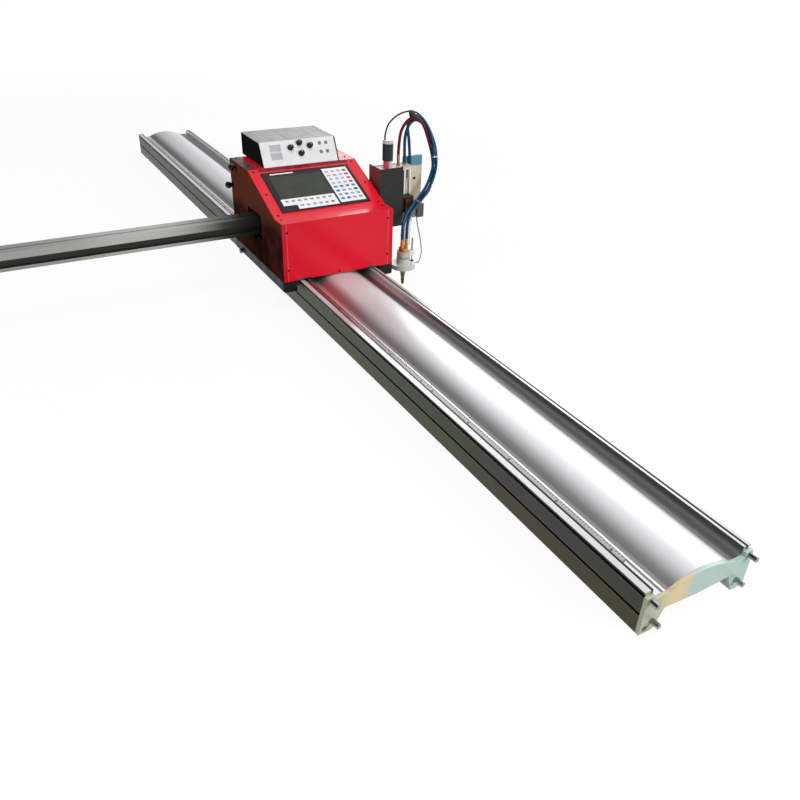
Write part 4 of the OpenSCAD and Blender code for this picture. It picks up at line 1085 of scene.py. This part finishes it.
def knob_details():
    marks = bmesh.new()
    for x, t in KNOBS:
        for i in range(11):
            angle = math.radians(225 - MARK_STEP * i)
            way = Vector((math.cos(angle), math.sin(angle)))
            c = Vector((x, t)) + DIAL_RADIUS * way
            if c.y > DIAL_TOP:
                continue
            far, side = way * 1.2, Vector((-way.y, way.x)) * 0.25
            outline = [c - far - side, c + far - side, c + far + side, c - far + side]
            slab(marks, [(p.x, p.y) for p in outline], PANEL, 2.62, THC_FACE)
    on_panel("dial_marks", marks, plastic("mark_look", (0.10, 0.10, 0.10), 0.5))
    pointer_look = plastic("pointer_look", (0.75, 0.75, 0.75), 0.4)
    for i, (x, t) in enumerate(KNOBS, 1):
        bm = bmesh.new()
        slab(bm, rounded(x, t + 3.6, 1.1, 6.2, 0.3), 15.7, 16.2, THC_FACE, 0.2)
        slab(bm, rounded(x, t + 8.1, 1.0, 1.2, 0.2), 5.8, 6.15, THC_FACE, 0.1)
        new_piece(f"knob_pointer_{i}", bm, f"thc_knob_{i}", pointer_look)
        dress(f"thc_knob_{i}", soft_black)


thc_windows()
knob_details()


# Screws

TO_FRONT = Matrix.Rotation(math.radians(90), 4, "X")
RACK_PIECE = 83 * math.pi * 2.5  # length of one piece of the rail's rack


def hex_screw(bm, place, radius=3.2, height=2.0):
    """Low button head with a hexagonal recess."""
    sides = 24

    def ring(r, h, count=sides):
        return [bm.verts.new(place @ (Vector((r * math.cos(2 * math.pi * k / count),
                                              r * math.sin(2 * math.pi * k / count), h)) * MM))
                for k in range(count)]
    rings = [ring(radius, 0), ring(radius, height * 0.25), ring(radius * 0.93, height * 0.6),
             ring(radius * 0.75, height * 0.9), ring(radius * 0.6, height)]
    for a, b in zip(rings, rings[1:]):
        for k in range(sides):
            j = (k + 1) % sides
            bm.faces.new((a[k], a[j], b[j], b[k]))
    rim, floor = ring(radius * 0.42, height, 6), ring(radius * 0.42, height * 0.35, 6)
    top = rings[-1]
    for k in range(6):
        j = (k + 1) % 6
        edge = [top[(4 * k + i) % sides] for i in range(5)]
        bm.faces.new(edge + [rim[j], rim[k]])
        bm.faces.new((rim[k], rim[j], floor[j], floor[k]))
    bm.faces.new(floor)
    bm.faces.new(list(reversed(rings[0])))


def cover_screws():
    """Heads of the screws on the front, the slope, the ledge, the top and both sides."""
    bm = bmesh.new()
    edge = 165
    for x in (-edge, edge):
        for z in (132, 247):
            hex_screw(bm, Matrix.Translation(at(x, 1435, z)) @ TO_FRONT)
    hex_screw(bm, Matrix.Translation(at(0, 1435, 104)) @ TO_FRONT)
    for x in (-edge, edge):
        for s in (12, 120, 217):
            hex_screw(bm, SLOPE @ Matrix.Translation(Vector((x, -s, 0)) * MM))
        hex_screw(bm, Matrix.Translation(at(x, 1474, 274)))
        for y in (1738, 1850):
            hex_screw(bm, Matrix.Translation(at(x, y, 362)))
    for side in (-1, 1):
        turn = Matrix.Rotation(math.radians(90 * side), 4, "Y")
        for y in (1455, 1842):
            for z in (120, 240):
                hex_screw(bm, Matrix.Translation(at(183 * side, y, z)) @ turn)
    piece = new_piece("cover_screw_heads", bm, "carriage", screw_look)
    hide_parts("cover_screws")


def rack_screws():
    """Countersunk screws along the rail's rack, in each of its pieces."""
    bm = bmesh.new()
    for piece in range(5):
        for i in range(5):
            y = 113 + piece * RACK_PIECE + i * 150
            if y < 87 + (piece + 1) * RACK_PIECE - 12:
                hex_screw(bm, Matrix.Translation(at(-105.4, y, 91)), 2.4, 0.5)
    new_piece("rack_screws", bm, "rail", screw_look)


def small_parts():
    """Thumb screw on the sensor ring's hub and a round screw on the lifter's back plate."""
    bm = bmesh.new()
    turn = Matrix.Rotation(math.radians(-40), 4, "Z") @ Matrix.Rotation(math.radians(90), 4, "Y")
    lathe(bm, [(1.6, 20), (1.6, 26), (3.0, 26.4), (3.2, 27), (3.2, 33), (2.7, 33.6)],
          Matrix.Translation(at(TORCH_X, TORCH_Y, 87)) @ turn, 20)
    new_piece("ring_thumb_screw", bm, "torch_slide", screw_look)
    bm = bmesh.new()
    hex_screw(bm, Matrix.Translation(at(360.5, 1616, 301)) @ TO_FRONT, 4.6, 2.6)
    new_piece("back_plate_screws", bm, "beam", screw_look)


cover_screws()
rack_screws()
small_parts()


# Studio: floor, world and lamps

AMBIENT = 0.30
FLOOR_SIZE, FLOOR_DROP = 40.0, 0.0005
FLOOR_TONE, FLOOR_SEEN_TONE = (0.20, 0.20, 0.20), (0.86, 0.86, 0.86)


def rays(n):
    """Outputs of a Light Path node, and 1 for rays from the camera or through glass."""
    path = n.add("LightPath").outputs
    return path, n.math("MAXIMUM", path["Is Camera Ray"], path["Is Transmission Ray"])


def add_floor():
    """White to the eye and in reflections, all of it glow beyond 5 m from the middle."""
    bm = bmesh.new()
    for x, y in ((-1, -1), (1, -1), (1, 1), (-1, 1)):
        bm.verts.new((x * FLOOR_SIZE, y * FLOOR_SIZE, -FLOOR_DROP))
    bm.faces.new(list(bm.verts))
    mesh = bpy.data.meshes.new("floor")
    bm.to_mesh(mesh)
    bm.free()
    floor = bpy.data.objects.new("floor", mesh)
    bpy.context.scene.collection.objects.link(floor)
    n = Nodes("floor")
    n.rough(0.8)
    n.put("Specular IOR Level", 0.0)
    glow = n.add("Emission")
    path, seen = rays(n)
    n.colour(n.mix(seen, FLOOR_TONE, FLOOR_SEEN_TONE))
    away = n.add("VectorMath", operation="LENGTH")
    n.link(n.coords.outputs["Object"], away.inputs[0])
    share = n.math("MULTIPLY", n.math("MAXIMUM", seen, path["Is Glossy Ray"]),
                   n.span(away.outputs["Value"], 3.0, 5.0, 0.93, 1.0))
    both = n.add("MixShader")
    for socket, output in zip(both.inputs, (share, n.shader.outputs[0], glow.outputs[0])):
        n.link(output, socket)
    n.link(both.outputs[0], n.tree.nodes["Material Output"].inputs["Surface"])
    mesh.materials.append(n.material)


def add_world():
    """White to the eye and through glass; in reflections darker towards the left."""
    world = bpy.data.worlds.new("world")
    bpy.context.scene.world = world
    world.use_nodes = True
    n = Tree(world.node_tree)
    sky = n.tree.nodes["Background"].inputs
    sky["Color"].default_value = (1, 1, 1, 1)
    x, z = n.axis(0, "Generated"), n.axis(2, "Generated")
    squares = n.math("ADD", n.math("MULTIPLY", x, x), n.math("MULTIPLY", z, z))
    reach = n.math("SQRT", n.math("ADD", squares, 0.03))
    grade = n.span(n.math("DIVIDE", x, reach), -0.12, 0.46, 0.04 - AMBIENT, 1.0 - AMBIENT)
    path, seen = rays(n)
    gloss = n.math("MULTIPLY_ADD", path["Is Glossy Ray"], grade, AMBIENT)
    n.link(n.math("MAXIMUM", gloss, seen), sky["Strength"])


def add_lamp(name, place, aim, size, power, glossy):
    data = bpy.data.lights.new(name, "AREA")
    data.shape = "RECTANGLE"
    data.size, data.size_y = size
    data.energy = power
    lamp = bpy.data.objects.new(name, data)
    lamp.location = place
    lamp.rotation_mode = "QUATERNION"
    lamp.rotation_quaternion = (Vector(aim) - Vector(place)).to_track_quat("-Z", "Y")
    lamp.visible_glossy = glossy
    bpy.context.scene.collection.objects.link(lamp)


# Name, place, aim, size and power of each lamp, and whether reflections show it
STUDIO = (
    ("key", (2.3, -4.4, 1.9), (0.7, -0.3, 0.2), (2.2, 2.2), 132, False),
    ("top", (0.2, -2.2, 4.6), (0.6, -0.5, 0.0), (2.4, 2.4), 88, False),
    ("fill", (-3.6, 0.4, 1.3), (0.5, 0.0, 0.2), (2.2, 1.6), 65, False),
    ("side", (4.8, 1.6, 1.7), (0.6, 0.2, 0.3), (7.0, 3.4), 130, True),
    ("back", (3.4, 4.8, 2.1), (0.75, -0.1, 0.3), (1.6, 0.8), 15, True),
)
add_floor()
add_world()
for lamp in STUDIO:
    add_lamp(*lamp)
bpy.context.scene.view_settings.view_transform = "Standard"
